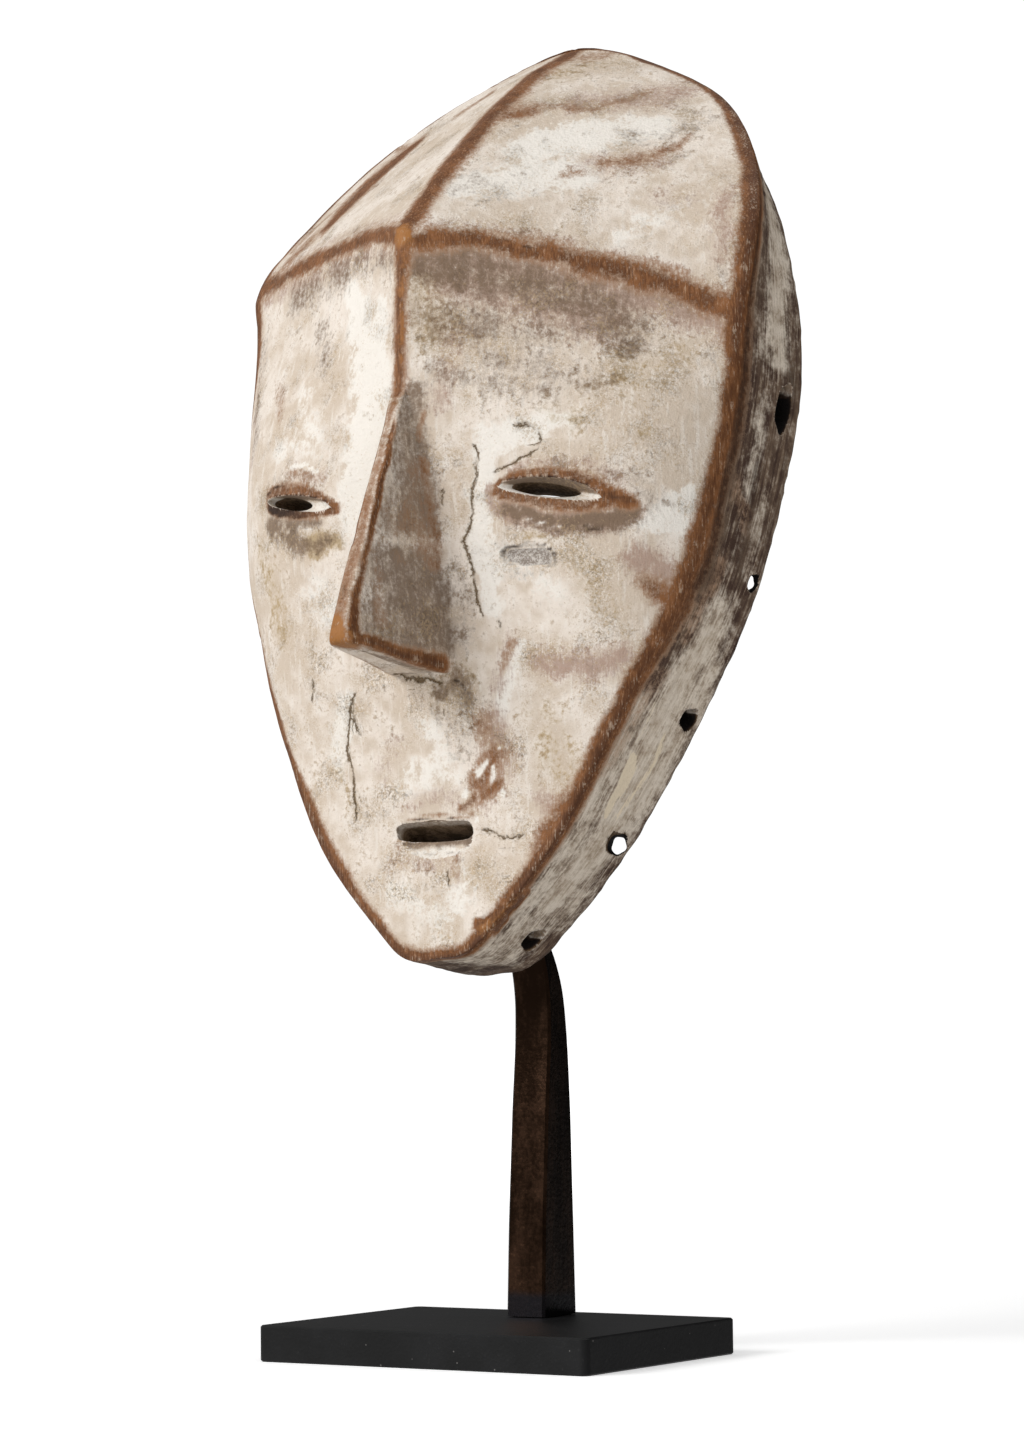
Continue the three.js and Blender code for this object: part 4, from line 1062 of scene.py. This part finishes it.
# %% Last touches to the form
scar_x, scar_z = (on_face - 0.4 * bend - (38, 239.9)).T
scar_z = scar_z + 0.006 * scar_x ** 2 + 0.07 * scar_x
scar_half = 2.5 + 0.6 * soft_step(1, 6, np.abs(scar_x))
scar_reach = (np.abs(scar_x / 7.2) ** 3 + np.abs(scar_z / scar_half) ** 3) ** (1 / 3)
hollow_scar = fade(0.8, 1.1, scar_reach) * (place < 0.5)
# A dark ring round the scar; its greater darkness along the top is painted shade inside the dent's upper
# rim.
scar_edge = np.exp(-((scar_reach - 1.06) / 0.17) ** 2) * (place < 0.5)
dark = np.maximum(dark, scar_edge * (0.6 + 0.35 * soft_step(-1, 2, scar_z)))
insects = fade(0.5, 1.3, reach(on_face, [(17, 130.5, 3), (23, 132, 4.4), (31, 138.5, 3)])) * (place < 0.12)
wear = np.maximum(wear, 0.9 * insects)
in_crack = 0.5 * np.exp(-(side_of_crack / 0.8) ** 2) * (open_crack > 0) * open_crack / 0.5
tracks = 0.9 * insects * soft_step(0.1, 0.6, lumps(carved_points, 2.2, 51))
rubbed_down = 0.12 * soft_step(0.3, 0.8, wear) * (place < 0.5)
crowds = soft_step(0.1, 0.6, lumps(carved_points, 14, 53))
pits = 0.3 * soft_step(0.2, 0.8, lumps(carved_points, 3.2, 52)) * crowds * (place < 0.5)
dig = in_crack + 0.9 * hollow_scar + tracks + rubbed_down + pits
carved_normals = read(carved, "vertices", "normal", 3)
carved_points = carved_points - carved_normals * dig[:, None] * ~cut_wall[:, None]
px, py, pz = carved_points.T
carved.vertices.foreach_set("co", (carved_points / 1000).astype(np.float32).ravel())
carved.update()
print("dug up to %.2f mm" % dig.max())

# %% [markdown]
# The cut surfaces get their own values. An eye's slope is painted grey above, as the shade where it faces
# down, and white below. So is the scoop at the lip, grey as the shade under the slot. A bore is painted
# dark, as the shade inside it, but for a paler rim at its top. The value "inner" marks wood that never had
# clay: the slits, the bores and the hollow.

# %% Attributes of the mask
depth_in = py - face_depth(np.clip(np.abs(px) / half_width(pz), 0, 1), pz, edge_depth(pz))
# The scoop is painted grey and darker towards the slot, as the shade under the upper lip, and paler below,
# with a grey line at its lower border.
lip_depth = soft_step(152.6, 156.6, pz + 0.5 * bend[:, 1])
lip_border = np.exp(-((pz + 0.3 * bend[:, 1] - 152.6) / 0.5) ** 2)
grime_and_shade = np.where(scooped, 1.1 * lip_depth + 0.6 * lip_border, grime_and_shade)
thin = np.where(scooped, 0.3 * lip_depth, thin)
wear = np.where(scooped, 0.0, wear)
dark = np.where(scooped, 0.5 * lip_depth ** 2, dark)
chalk = np.where(scooped, 0.7 * (1 - lip_depth), chalk)
near_mouth = np.hypot(px / 20, (pz - 155) / 14) < 1
near_eye = (np.abs(pz - 258) < 16) & (np.abs(px) < 68)
mouth_wood = 0.58 + 0.42 * soft_step(1.5, 6, depth_in)
inner = np.where(near_eye, soft_step(2.8, 4.0, depth_in), np.where(near_mouth, mouth_wood, 0.85))
inner = np.where(cut_wall, inner, soft_step(1.6, 2.4, place) * 0.8 * ~scooped)
# A bore is painted near black, darker the deeper it goes, as the shade inside it; a band at the top of its
# mouth stays paler and grey.
for mouth_of_bore, way_out, tall, pale_from in bores:
    from_mouth = carved_points - mouth_of_bore
    deep = -from_mouth @ way_out
    radius = np.linalg.norm(from_mouth + deep[:, None] * way_out, axis=1)
    here = cut_wall & (radius < 10) & (deep < 14) & (deep > -6)
    pale = soft_step(pale_from * tall, (pale_from + 0.2) * tall, from_mouth[:, 2] + 0.5 * bend[:, 0])
    pale *= fade(3, 6, deep)
    inner[here] = (0.9 - 0.9 * pale)[here]
    dark[here] = (1.3 * soft_step(-0.2, 1.2, deep) * (1 - pale))[here]
    grime_and_shade[here] = (0.75 * pale)[here]
# The upper part of an eye's cut slope, which faces down, is painted grey as its shade; the lower part is
# white.
for eye in EYES:
    above, below, s = lids(eye)
    here = cut_wall & near_eye & (np.sign(px) == np.sign(eye[0]))
    rise, drop = eye[-2:]
    half = np.clip(1 - s * s, 0, 1) ** 0.625
    tilt = soft_step(-0.5, 0.8, (above - below) / 2 + 0.5 * (rise - drop) * half - 1.2)
    grime_and_shade = np.where(here, 1.2 * tilt, grime_and_shade)
    chalk = np.where(here, 0.7 * (1 - tilt), chalk)
EDGE_LENGTH = 0.393           # metres from chin to crown
OTHER_SIDE = 0.9              # metres, which keep the two sides' streaks apart
height_on_outline = np.interp(pz, line[:, 2], share * EDGE_LENGTH)
along_outline = np.where(px > 0, height_on_outline, OTHER_SIDE - height_on_outline)
# Where hands polished it most, bare wood is amber: the nose's tip, the middle of the brow with the ridge
# under it, and beside the chin.
spots = [
    (1.0, [(-2, -78, 220, 3.2), (0, -79, 215, 4.6), (1, -76, 213, 4.0)]),
    (0.9, [(-1, -45.5, 341.5, 3.6), (0, -45.5, 339, 3.2)]),
    (0.75, [(-9, -45, 341, 1.0), (0, -46, 341, 1.4), (12, -44.6, 340, 1.0)]),
    (0.55, [(0.6, -46.5, 335, 1.2), (0.8, -48, 300, 1.2)]),
    (0.5, [(17, -33, 129, 2.4), (30, -31, 138, 2.4)])]
amber = paint(frayed, spots) * (place < 0.5)
wear = np.maximum(wear, np.minimum(amber, 0.8))
for key, values in {"wear": wear, "grime_and_shade": grime_and_shade, "thin": thin, "chalk": chalk, "ochre": ochre,
                    "dark": dark, "crack_side": side_of_crack, "crack_open": open_crack, "inner": inner,
                    "amber": amber, "scar": hollow_scar, "wall": is_wall, "along": along_outline}.items():
    carved.attributes.new(key, "FLOAT", "POINT").data.foreach_set("value", values.astype(np.float32))
carved.attributes["place"].data.foreach_set("value", place.astype(np.float32))
carved.attributes.remove(carved.attributes["old"])
carved.polygons.foreach_set("use_smooth", np.ones(len(carved.polygons), bool))
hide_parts("mask")
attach(mask, "root")

# %% [markdown]
# ## Materials
#
# A few small helpers serve every material. They turn an sRGB hex colour to the linear values that Blender
# counts in, give the scale of a texture, start a material with its shader, and add a node with its settings
# and links. Two more are a finisher's own acts: to roughen a value with noises, and to lay a coat of one
# colour over another. Textures read Object coordinates in metres, so a grain of 2 mm is a noise of scale
# 500.

# %% Material helpers
SMOOTH = {"interpolation_type": "SMOOTHSTEP"}


def linear(code):
    """sRGB hex to linear: c / 12.92 up to 0.04045, and ((c + 0.055) / 1.055) ^ 2.4 above."""
    c = np.array([int(code[k:k + 2], 16) for k in (1, 3, 5)]) / 255
    return (*np.where(c <= 0.04045, c / 12.92, ((c + 0.055) / 1.055) ** 2.4).tolist(), 1.0)


def per_metre(millimetres):
    """The scale of a texture whose feature is so many millimetres wide."""
    return 1000.0 / millimetres


def start_material(name, **sockets):
    """A material with its Principled shader, whose sockets are set by name."""
    material = bpy.data.materials.new(name)
    material.use_nodes = True
    shader = material.node_tree.nodes["Principled BSDF"]
    for key, value in sockets.items():
        shader.inputs[key.replace("_", " ")].default_value = value
    return material, material.node_tree, shader


def add(tree, kind, inputs=None, out=0, **settings):
    """Adds a node, sets its own properties, sets or links its inputs, and gives back one of its outputs."""
    made = tree.nodes.new("ShaderNode" + kind)
    for key, value in settings.items():
        setattr(made, key, value)
    for key, value in (inputs or {}).items():
        if isinstance(value, bpy.types.NodeSocket):
            tree.links.new(value, made.inputs[key])
        else:
            made.inputs[key].default_value = value
    return made.outputs[out]


def roughen(tree, value, *noises):
    """value + the sum of factor * (noise - 0.5), for noises given as (noise, factor) pairs, whose mean is
    one half."""
    value = add(tree, "Math", {0: value, 1: -sum(factor for _, factor in noises) / 2})
    for noise, factor in noises:
        value = add(tree, "Math", {0: noise, 1: factor, 2: value}, operation="MULTIPLY_ADD")
    return value


def coat(tree, under, over, value, low, high, most=1.0):
    """Lays one colour over another where a value passes softly from low to high, at most by the share
    given."""
    under, over = (linear(colour) if isinstance(colour, str) else colour for colour in (under, over))
    share = add(tree, "MapRange", {"Value": value, 1: low, 2: high, 4: most}, **SMOOTH)
    return add(tree, "Mix", {"Factor": share, 6: under, 7: over}, out=2, data_type="RGBA")


# %% [markdown]
# ## Kaolin on brown wood
#
# The face is white kaolin, a fine clay rubbed on in a slurry. It dries matt and powdery, fills the grain,
# and goes creamy and dirty with age. Over the bare wood of the edges, polished by hands, a little light
# glances. Bare wood and the clay, with its stains and some painted shade, are mixed first, each as a colour
# of its own. They are brought together in the cells below, where each coat goes over the ones before it:
# the side wall, flaws in the clay, then the places where the clay is gone, dirt and painted shade, and
# cracks through all of it. Both are rough dielectrics with an IOR of 1.5.

# %% Whitened wood
wood_material, wood, wood_shader = start_material(
    "kaolin_on_brown_wood", Roughness=0.8, IOR=1.5, Specular_IOR_Level=0.3)
here = add(wood, "TexCoord", out=3)
upright = add(wood, "Mapping", {"Vector": here, "Scale": (1, 1, 0.13)})
# A noise: its name, its size in mm, its detail and its roughness.
NOISES = [("cloud", 24, 3, 0.5), ("blotch", 6, 4, 0.6), ("dust", 1.5, 4, 0.7), ("grain", 1.8, 3, 0.6),
          ("hair", 0.55, 2, 0.6), ("cluster", 13, 2, 0.5), ("fleck", 0.9, 3, 0.7), ("grit", 0.45, 2, 0.6)]
noise = {}
for name, size, detail, rough in NOISES:
    space = upright if name in ("grain", "hair") else here
    noise[name] = add(wood, "TexNoise", {"Vector": space, "Scale": per_metre(size), "Detail": detail,
                                         "Roughness": rough})
MARKS = ("wear", "grime_and_shade", "thin", "chalk", "ochre", "dark", "crack_side", "crack_open", "inner", "amber",
         "scar", "wall", "along", "place")
mark = {name: add(wood, "Attribute", attribute_name=name, out=2) for name in MARKS}


def grained(value, **factors):
    """roughen() with the wood's own noises, named: value + the sum of factor * (noise - 0.5)."""
    return roughen(wood, value, *((noise[name], factor) for name, factor in factors.items()))


bare = coat(wood, "#5b361a", "#865732", grained(0.5, blotch=0.6, hair=0.5), 0.38, 0.62)
bare = coat(wood, bare, "#b39679", grained(0.5, hair=0.8, fleck=0.4), 0.57, 0.72, 0.5)
bare = coat(wood, bare, "#40220e", grained(mark["wear"], blotch=0.3), 0.80, 1.0, 0.55)
bare = coat(wood, bare, "#a06a33", grained(mark["amber"], blotch=1.2, dust=0.5), 0.15, 0.85, 0.85)

clay = coat(wood, "#cdbdab", "#e5dace", grained(0.5, cloud=0.55, blotch=0.5), 0.40, 0.60)
clay = coat(wood, clay, "#eae3da", noise["grain"], 0.52, 0.70, 0.5)
clay = coat(wood, clay, "#b09a82", grained(0.5, dust=0.6, blotch=0.5), 0.52, 0.70, 0.6)
clay = coat(wood, clay, "#ad9679", grained(0.5, grit=0.7, dust=0.3, cluster=0.3), 0.55, 0.70, 0.5)
clay = coat(wood, clay, "#efe9e1", grained(0.5, grit=-0.6, dust=-0.3, cluster=0.2), 0.54, 0.66, 0.5)
clay = coat(wood, clay, "#ece6dd", grained(mark["chalk"], dust=0.8, blotch=1.2, grit=0.3), 0.34, 0.68, 0.9)
clay = coat(wood, clay, "#ab9166", grained(mark["ochre"], dust=1.1, blotch=1.4), 0.20, 1.00, 0.8)
clay = coat(wood, clay, "#a88c7c", grained(mark["thin"], dust=0.6, hair=0.6, blotch=0.8, grit=0.3),
            0.26, 0.80, 0.85)
# Grey brown from the grime map: dirt, and painted shade under the brow, beside and under the nose, on the
# eyes' upper slopes and in the scoop under the mouth.
clay = coat(wood, clay, "#786350", grained(mark["grime_and_shade"], dust=0.7, grain=0.7, blotch=1.0, grit=0.3),
            0.16, 0.90, 0.9)
print("bare wood and stained clay take %d nodes" % len(wood.nodes))

# %% [markdown]
# The side wall never had much clay. Its wood is grey brown, streaked along the grain with what clay there
# was, and nearly black just behind the face's edge: dirt gathers there, and the strip is also painted
# shade, where the wall turns away from the light. Its streaks read two attributes instead of the
# coordinates, the distance along the outline and the share of the way across, so they follow the wall
# round.

# %% Side wall, hollow and openings
ALONG_GRAIN = 0.07            # the streaks are drawn out to 14 times their width
down_wall = add(wood, "Math", {0: mark["along"], 1: ALONG_GRAIN}, operation="MULTIPLY")
across_wall = add(wood, "Math", {0: mark["place"], 1: WALL_DEPTH / 1000}, operation="MULTIPLY")
wall_place = add(wood, "CombineXYZ", {0: down_wall, 1: across_wall})
noise["streak"] = add(wood, "TexNoise", {"Vector": wall_place, "Scale": per_metre(1.0), "Detail": 4,
                                         "Roughness": 0.65})
noise["band"] = add(wood, "TexNoise", {"Vector": wall_place, "Scale": per_metre(5), "Detail": 4,
                                       "Roughness": 0.6})
wall = coat(wood, "#46332a", "#75614f", grained(0.5, streak=0.4, band=0.5, blotch=0.5), 0.38, 0.62)
wall = coat(wood, wall, "#a4917d", grained(0.5, streak=0.9, dust=0.3, hair=0.2), 0.55, 0.67, 0.5)
wall = coat(wood, wall, "#3d2a1b", grained(0.5, band=-0.6, blotch=-0.6), 0.54, 0.70, 0.35)
clay_on_wall = coat(wood, "#bba994", "#e2d6c6", grained(0.5, streak=0.5, dust=0.3, blotch=0.6), 0.36, 0.64)
wall = coat(wood, wall, clay_on_wall, grained(mark["chalk"], streak=0.9, blotch=1.3, dust=0.6),
            -0.02, 0.80, 0.9)
wall = coat(wood, wall, "#8f7a66", grained(0.5, dust=0.5, band=0.6), 0.54, 0.70, 0.45)
wall = coat(wood, wall, "#ddd2c4", grained(0.5, streak=0.6, grit=0.5, band=-0.3), 0.61, 0.73, 0.4)
wall = coat(wood, wall, "#e2d2b8", grained(mark["ochre"], streak=0.9, dust=0.5), 0.35, 0.60, 0.9)
surface = coat(wood, clay, wall, mark["wall"], 0.25, 0.75)

# %% [markdown]
# Dried clay has flaws of its own: pin holes in crowds, brown flecks, and hairlines where it shrank into
# plates about 9 mm wide. They belong to the clay, so bare wood covers them later.

# %% Pores, flecks and hairlines
pores = add(wood, "TexVoronoi", {"Vector": here, "Scale": per_metre(2.2), "Randomness": 1.0})
crowd = roughen(wood, 0.43, (noise["cluster"], 0.9), (mark["grime_and_shade"], 0.2))
crowded = add(wood, "MapRange", {"Value": crowd, 1: 0.45, 2: 0.68}, **SMOOTH)
hole = add(wood, "MapRange", {"Value": pores, 1: 0.09, 2: 0.24, 3: 1, 4: 0}, **SMOOTH)
pore = add(wood, "Math", {0: hole, 1: crowded}, operation="MULTIPLY")
surface = coat(wood, surface, "#8a7252", pore, 0.0, 1.0, 0.55)
flecks = grained(0.5, fleck=0.7, cluster=0.5)
off_wall = add(wood, "Math", {0: flecks, 1: mark["wall"]}, operation="SUBTRACT")
surface = coat(wood, surface, "#b89f7c", off_wall, 0.54, 0.66, 0.5)
shake = add(wood, "TexNoise", {"Vector": here, "Scale": per_metre(4), "Detail": 3}, out=1)
shaken = add(wood, "VectorMath", {0: here, 1: shake, 2: (0.006, 0.006, 0.006)}, operation="MULTIPLY_ADD")
shaken = add(wood, "VectorMath", {0: shaken, 1: (0.003, 0.003, 0.003)}, operation="SUBTRACT")
plates = add(wood, "TexVoronoi", {"Vector": shaken, "Scale": per_metre(9)}, feature="DISTANCE_TO_EDGE")
line_width = roughen(wood, -0.112, (noise["cluster"], 0.12), (noise["blotch"], 0.06), (mark["wall"], -0.2))
hairline = add(wood, "Math", {0: line_width, 1: plates}, operation="SUBTRACT")
crazed = add(wood, "MapRange", {"Value": hairline, 1: -0.012, 2: 0.012}, **SMOOTH)
surface = coat(wood, surface, "#a08c6f", crazed, 0.0, 1.0, 0.5)

# %% [markdown]
# Where the clay is gone, its thin edge shows first as a tan border and then the brown wood, with fine
# scratches across it. The openings are plain wood, dirt and painted shade darken what they lie on, and the
# scar is pale and grey.

# %% Bare wood, openings, dirt and painted shade
worn = grained(mark["wear"], dust=0.5, blotch=0.45, hair=0.35, grit=0.2)
surface = coat(wood, surface, "#a08066", worn, 0.12, 0.50, 0.75)
surface = coat(wood, surface, bare, worn, 0.38, 0.72)
askew = add(wood, "Mapping", {"Vector": here, "Rotation": (0.0, 0.6, 0.0), "Scale": (1, 1, 0.08)})
noise["scratch"] = add(wood, "TexNoise", {"Vector": askew, "Scale": per_metre(0.5), "Detail": 2,
                                          "Roughness": 0.6})
scratches = grained(0.5, scratch=1.0, blotch=0.5)
scratched = add(wood, "Math", {0: scratches, 1: worn}, operation="MULTIPLY")
surface = coat(wood, surface, "#cbb8a2", scratched, 0.54, 0.70, 0.4)
inside = coat(wood, "#4a3823", "#77614a", grained(0.5, grain=0.6, blotch=0.6, hair=0.4), 0.38, 0.64)
surface = coat(wood, surface, inside, grained(mark["inner"], dust=0.3), 0.35, 0.75)
# The dark map is dirt, and painted shade in the bores, along the eyes' upper edges, at the scar's top, in
# the lip scoop and behind the face's edge on the side wall. Past 1, mostly in the bores, it goes near
# black.
surface = coat(wood, surface, "#26170e", grained(mark["dark"], dust=0.5, blotch=0.4), 0.25, 1.0, 0.95)
surface = coat(wood, surface, "#0d0806", mark["dark"], 1.0, 1.3)
scar = coat(wood, "#85796f", "#cfc8c0", grained(0.5, grit=0.5, dust=0.5), 0.40, 0.62)
surface = coat(wood, surface, scar, grained(mark["scar"], dust=0.6), 0.4, 0.7, 0.95)

# %% [markdown]
# A crack is drawn where its signed distance passes zero. Noise makes its line wander and breaks it here and
# there, and the clay beside it is a little dirty, because it has lifted.

# %% Cracks in the wood
wander = grained(mark["crack_side"], fleck=2.0, dust=2.4, blotch=1.6)
apart = add(wood, "Math", {0: wander}, operation="ABSOLUTE")
broken = grained(mark["crack_open"], blotch=1.0)
breaks = add(wood, "MapRange", {"Value": broken, 1: 0.10, 2: 0.34}, **SMOOTH)
edge_of_crack = add(wood, "Math", {0: mark["crack_open"], 1: apart}, operation="SUBTRACT")
gap = add(wood, "MapRange", {"Value": edge_of_crack, 1: -0.12, 2: 0.12}, **SMOOTH)
lifted = add(wood, "MapRange", {"Value": edge_of_crack, 1: -0.9, 2: 0.0}, **SMOOTH)
crack = add(wood, "Math", {0: gap, 1: breaks}, operation="MULTIPLY")
near_crack = add(wood, "Math", {0: lifted, 1: breaks}, operation="MULTIPLY")
surface = coat(wood, surface, "#9a866a", near_crack, 0.0, 1.0, 0.45)
surface = coat(wood, surface, "#6b563a", crack, 0.0, 1.0, 0.85)
wood.links.new(surface, wood_shader.inputs["Base Color"])

# %% Relief and gloss of the wood
polish = add(wood, "MapRange", {"Value": worn, 1: 0.4, 2: 0.9}, **SMOOTH)
height = roughen(wood, 0.0, (noise["dust"], 0.6), (noise["blotch"], 0.8), (noise["grain"], 0.3),
                 (noise["fleck"], 0.35), (noise["grit"], 0.15), (pore, -0.5), (crack, -1.2), (crazed, -0.8),
                 (polish, -0.3))
relief = add(wood, "Bump", {"Height": height, "Strength": 1.0, "Distance": 0.0005})
wood.links.new(relief, wood_shader.inputs["Normal"])
wood.links.new(roughen(wood, 0.72, (polish, -0.36), (noise["dust"], 0.12)), wood_shader.inputs["Roughness"])
carved.materials.clear()
carved.materials.append(wood_material)
print("kaolin on brown wood: %d nodes" % len(wood.nodes))

# %% [markdown]
# ## The bar and the plate
#
# The stand is steel. The bar has a brown patina in thin coats, so it is mottled and a little glossy, and
# its foot is colder and greyer. The plate is painted satin black, with the pale specks and fine rubs that
# paint collects. Both solids have their true shape, so only their materials change.

# %% Patinated bar
bar_material, bar, bar_shader = start_material("patinated_steel", Metallic=1.0, Roughness=0.4)
here = add(bar, "TexCoord", out=3)
down_bar = add(bar, "Mapping", {"Vector": here, "Scale": (1, 1, 0.35)})
mottle = add(bar, "TexNoise", {"Vector": down_bar, "Scale": per_metre(9), "Detail": 5, "Roughness": 0.62})
grit = add(bar, "TexNoise", {"Vector": here, "Scale": per_metre(1.3), "Detail": 3, "Roughness": 0.6})
brushed = add(bar, "Mapping", {"Vector": here, "Scale": (1, 1, 0.06)})
streak = add(bar, "TexNoise", {"Vector": brushed, "Scale": per_metre(1.2), "Detail": 2})
skin = coat(bar, "#20150e", "#3d2b20", roughen(bar, 0.5, (mottle, 0.75), (grit, 0.25)), 0.40, 0.66)
skin = coat(bar, skin, "#5a4130", roughen(bar, 0.5, (mottle, 0.45), (grit, 0.55)), 0.60, 0.72, 0.6)
height_on_bar = add(bar, "SeparateXYZ", {"Vector": here}, out=2)
above_foot = add(bar, "Math", {0: 0.018, 1: height_on_bar}, operation="SUBTRACT")
skin = coat(bar, skin, "#26262a", roughen(bar, above_foot, (mottle, 0.004)), -0.0015, 0.0015, 0.85)
bar.links.new(skin, bar_shader.inputs["Base Color"])
bar.links.new(roughen(bar, 0.27, (grit, 0.2), (mottle, 0.2)), bar_shader.inputs["Roughness"])
bar_height = roughen(bar, 0.0, (grit, 0.4), (mottle, 0.6), (streak, 0.3))
bar_relief = add(bar, "Bump", {"Height": bar_height, "Strength": 0.6, "Distance": 0.0003})
bar.links.new(bar_relief, bar_shader.inputs["Normal"])

# %% Painted plate
plate_material, plate, plate_shader = start_material(
    "satin_black_paint", Roughness=0.42, IOR=1.5, Specular_IOR_Level=0.25)
here = add(plate, "TexCoord", out=3)
cloud = add(plate, "TexNoise", {"Vector": here, "Scale": per_metre(22), "Detail": 4, "Roughness": 0.6})
grit = add(plate, "TexNoise", {"Vector": here, "Scale": per_metre(0.9), "Detail": 3, "Roughness": 0.6})
specks = add(plate, "TexVoronoi", {"Vector": here, "Scale": per_metre(4.5)})
specks_near = add(plate, "Math", {0: 1.0, 1: specks}, operation="SUBTRACT")
paint_colour = coat(plate, "#090909", "#121213", cloud, 0.38, 0.64)
paint_colour = coat(plate, paint_colour, "#2a2a2a", roughen(plate, 0.5, (grit, 0.8), (cloud, 0.2)), 0.60,
                    0.72, 0.6)
paint_colour = coat(plate, paint_colour, "#8f8c88", specks_near, 0.93, 0.97, 0.55)
plate.links.new(paint_colour, plate_shader.inputs["Base Color"])
plate.links.new(roughen(plate, 0.46, (cloud, 0.14), (grit, 0.1)), plate_shader.inputs["Roughness"])
dents = roughen(plate, 0.0, (grit, 0.6), (cloud, 0.4))
plate_relief = add(plate, "Bump", {"Height": dents, "Strength": 0.5, "Distance": 0.00025})
plate.links.new(plate_relief, plate_shader.inputs["Normal"])

for name, material in (("stand_bar", bar_material), ("base_plate", plate_material)):
    for material_slot in nodes[name].material_slots:
        material_slot.material = material
print("bar %d nodes, plate %d nodes" % (len(bar.nodes), len(plate.nodes)))

# %% [markdown]
# ## Floor and light
#
# The mask is lit as a catalogue lights it: a broad soft light from the front left, a weaker one from the
# right to open the side wall, and a surround that is bright in front and dark behind. The floor is white
# and stays white, but for a soft shadow beside the plate. The bar and the plate do not mirror the floor
# itself: the surround has a soft sheen below the horizon in its place.

# %% Floor, lights and surround
def area_light(name, place, aim, size, watts, colour="#ffffff"):
    """A square area light at a place, turned so that its -Z looks at the aim."""
    data = bpy.data.lights.new(name, "AREA")
    data.size, data.energy, data.color = size, watts, linear(colour)[:3]
    thing = bpy.data.objects.new(name, data)
    scene.collection.objects.link(thing)
    look = np.array(aim, float) - place
    look /= np.linalg.norm(look)
    side = np.cross(look, (0, 0, 1))
    side /= np.linalg.norm(side)
    matrix = np.eye(4)
    matrix[:3, 0], matrix[:3, 1], matrix[:3, 2], matrix[:3, 3] = side, np.cross(side, look), -look, place
    thing.matrix_world = Matrix(matrix.tolist())
    return thing


area_light("key", (-1.1, -1.9, 1.35), (0, 0, 0.27), 1.1, 36)
area_light("fill", (1.9, -0.9, 0.5), (0, 0, 0.22), 1.4, 11).visible_glossy = False
area_light("top", (0.2, 0.5, 1.9), (0, 0, 0.3), 1.2, 5)

FLOOR_HALF = 8.0
floor_corners = [(x * FLOOR_HALF, y * FLOOR_HALF, 0) for x, y in ((-1, -1), (1, -1), (1, 1), (-1, 1))]
floor_mesh = bpy.data.meshes.new("floor")
floor_mesh.from_pydata(floor_corners, [], [(0, 1, 2, 3)])
floor = bpy.data.objects.new("floor", floor_mesh)
scene.collection.objects.link(floor)
floor_material, floor_tree, floor_shader = start_material(
    "white_floor", Roughness=0.9, Base_Color=linear("#f4f4f4"))
seen = add(floor_tree, "LightPath", out=0)
from_plate = add(floor_tree, "VectorMath", {0: add(floor_tree, "TexCoord", out=3)}, out=1,
                 operation="LENGTH")
glow = add(floor_tree, "MapRange", {"Value": from_plate, 1: 0.42, 2: 1.5, 3: 0.40, 4: 1.0}, **SMOOTH)
glow = add(floor_tree, "Math", {0: seen, 1: glow}, operation="MULTIPLY")
floor_shader.inputs["Emission Color"].default_value = (1, 1, 1, 1)
floor_tree.links.new(glow, floor_shader.inputs["Emission Strength"])
floor_mesh.materials.append(floor_material)
floor.visible_glossy = False

world = bpy.data.worlds.new("surround")
scene.world = world
world.use_nodes = True
world_tree = world.node_tree
backdrop = world_tree.nodes["Background"]
seen = add(world_tree, "LightPath", out=0)
way = add(world_tree, "TexCoord", out=0)
toward = add(world_tree, "VectorMath", {0: way, 1: (-0.45, -0.82, 0.35)}, out=1, operation="DOT_PRODUCT")
studio = add(world_tree, "MapRange", {"Value": toward, 1: -0.7, 2: 1.0, 3: 0.04, 4: 0.62}, **SMOOTH)
under = add(world_tree, "VectorMath", {0: way, 1: (0, 0, -1)}, out=1, operation="DOT_PRODUCT")
floor_sheen = add(world_tree, "MapRange", {"Value": under, 1: 0.07, 2: 0.10, 3: 0.0, 4: 0.5})
studio = add(world_tree, "Math", {0: studio, 1: floor_sheen}, operation="MAXIMUM")
strength = add(world_tree, "Mix", {0: seen, 2: studio, 3: 1.05}, data_type="FLOAT")
world_tree.links.new(strength, backdrop.inputs["Strength"])
backdrop.inputs["Color"].default_value = (1, 1, 1, 1)
scene.view_settings.view_transform = "Standard"
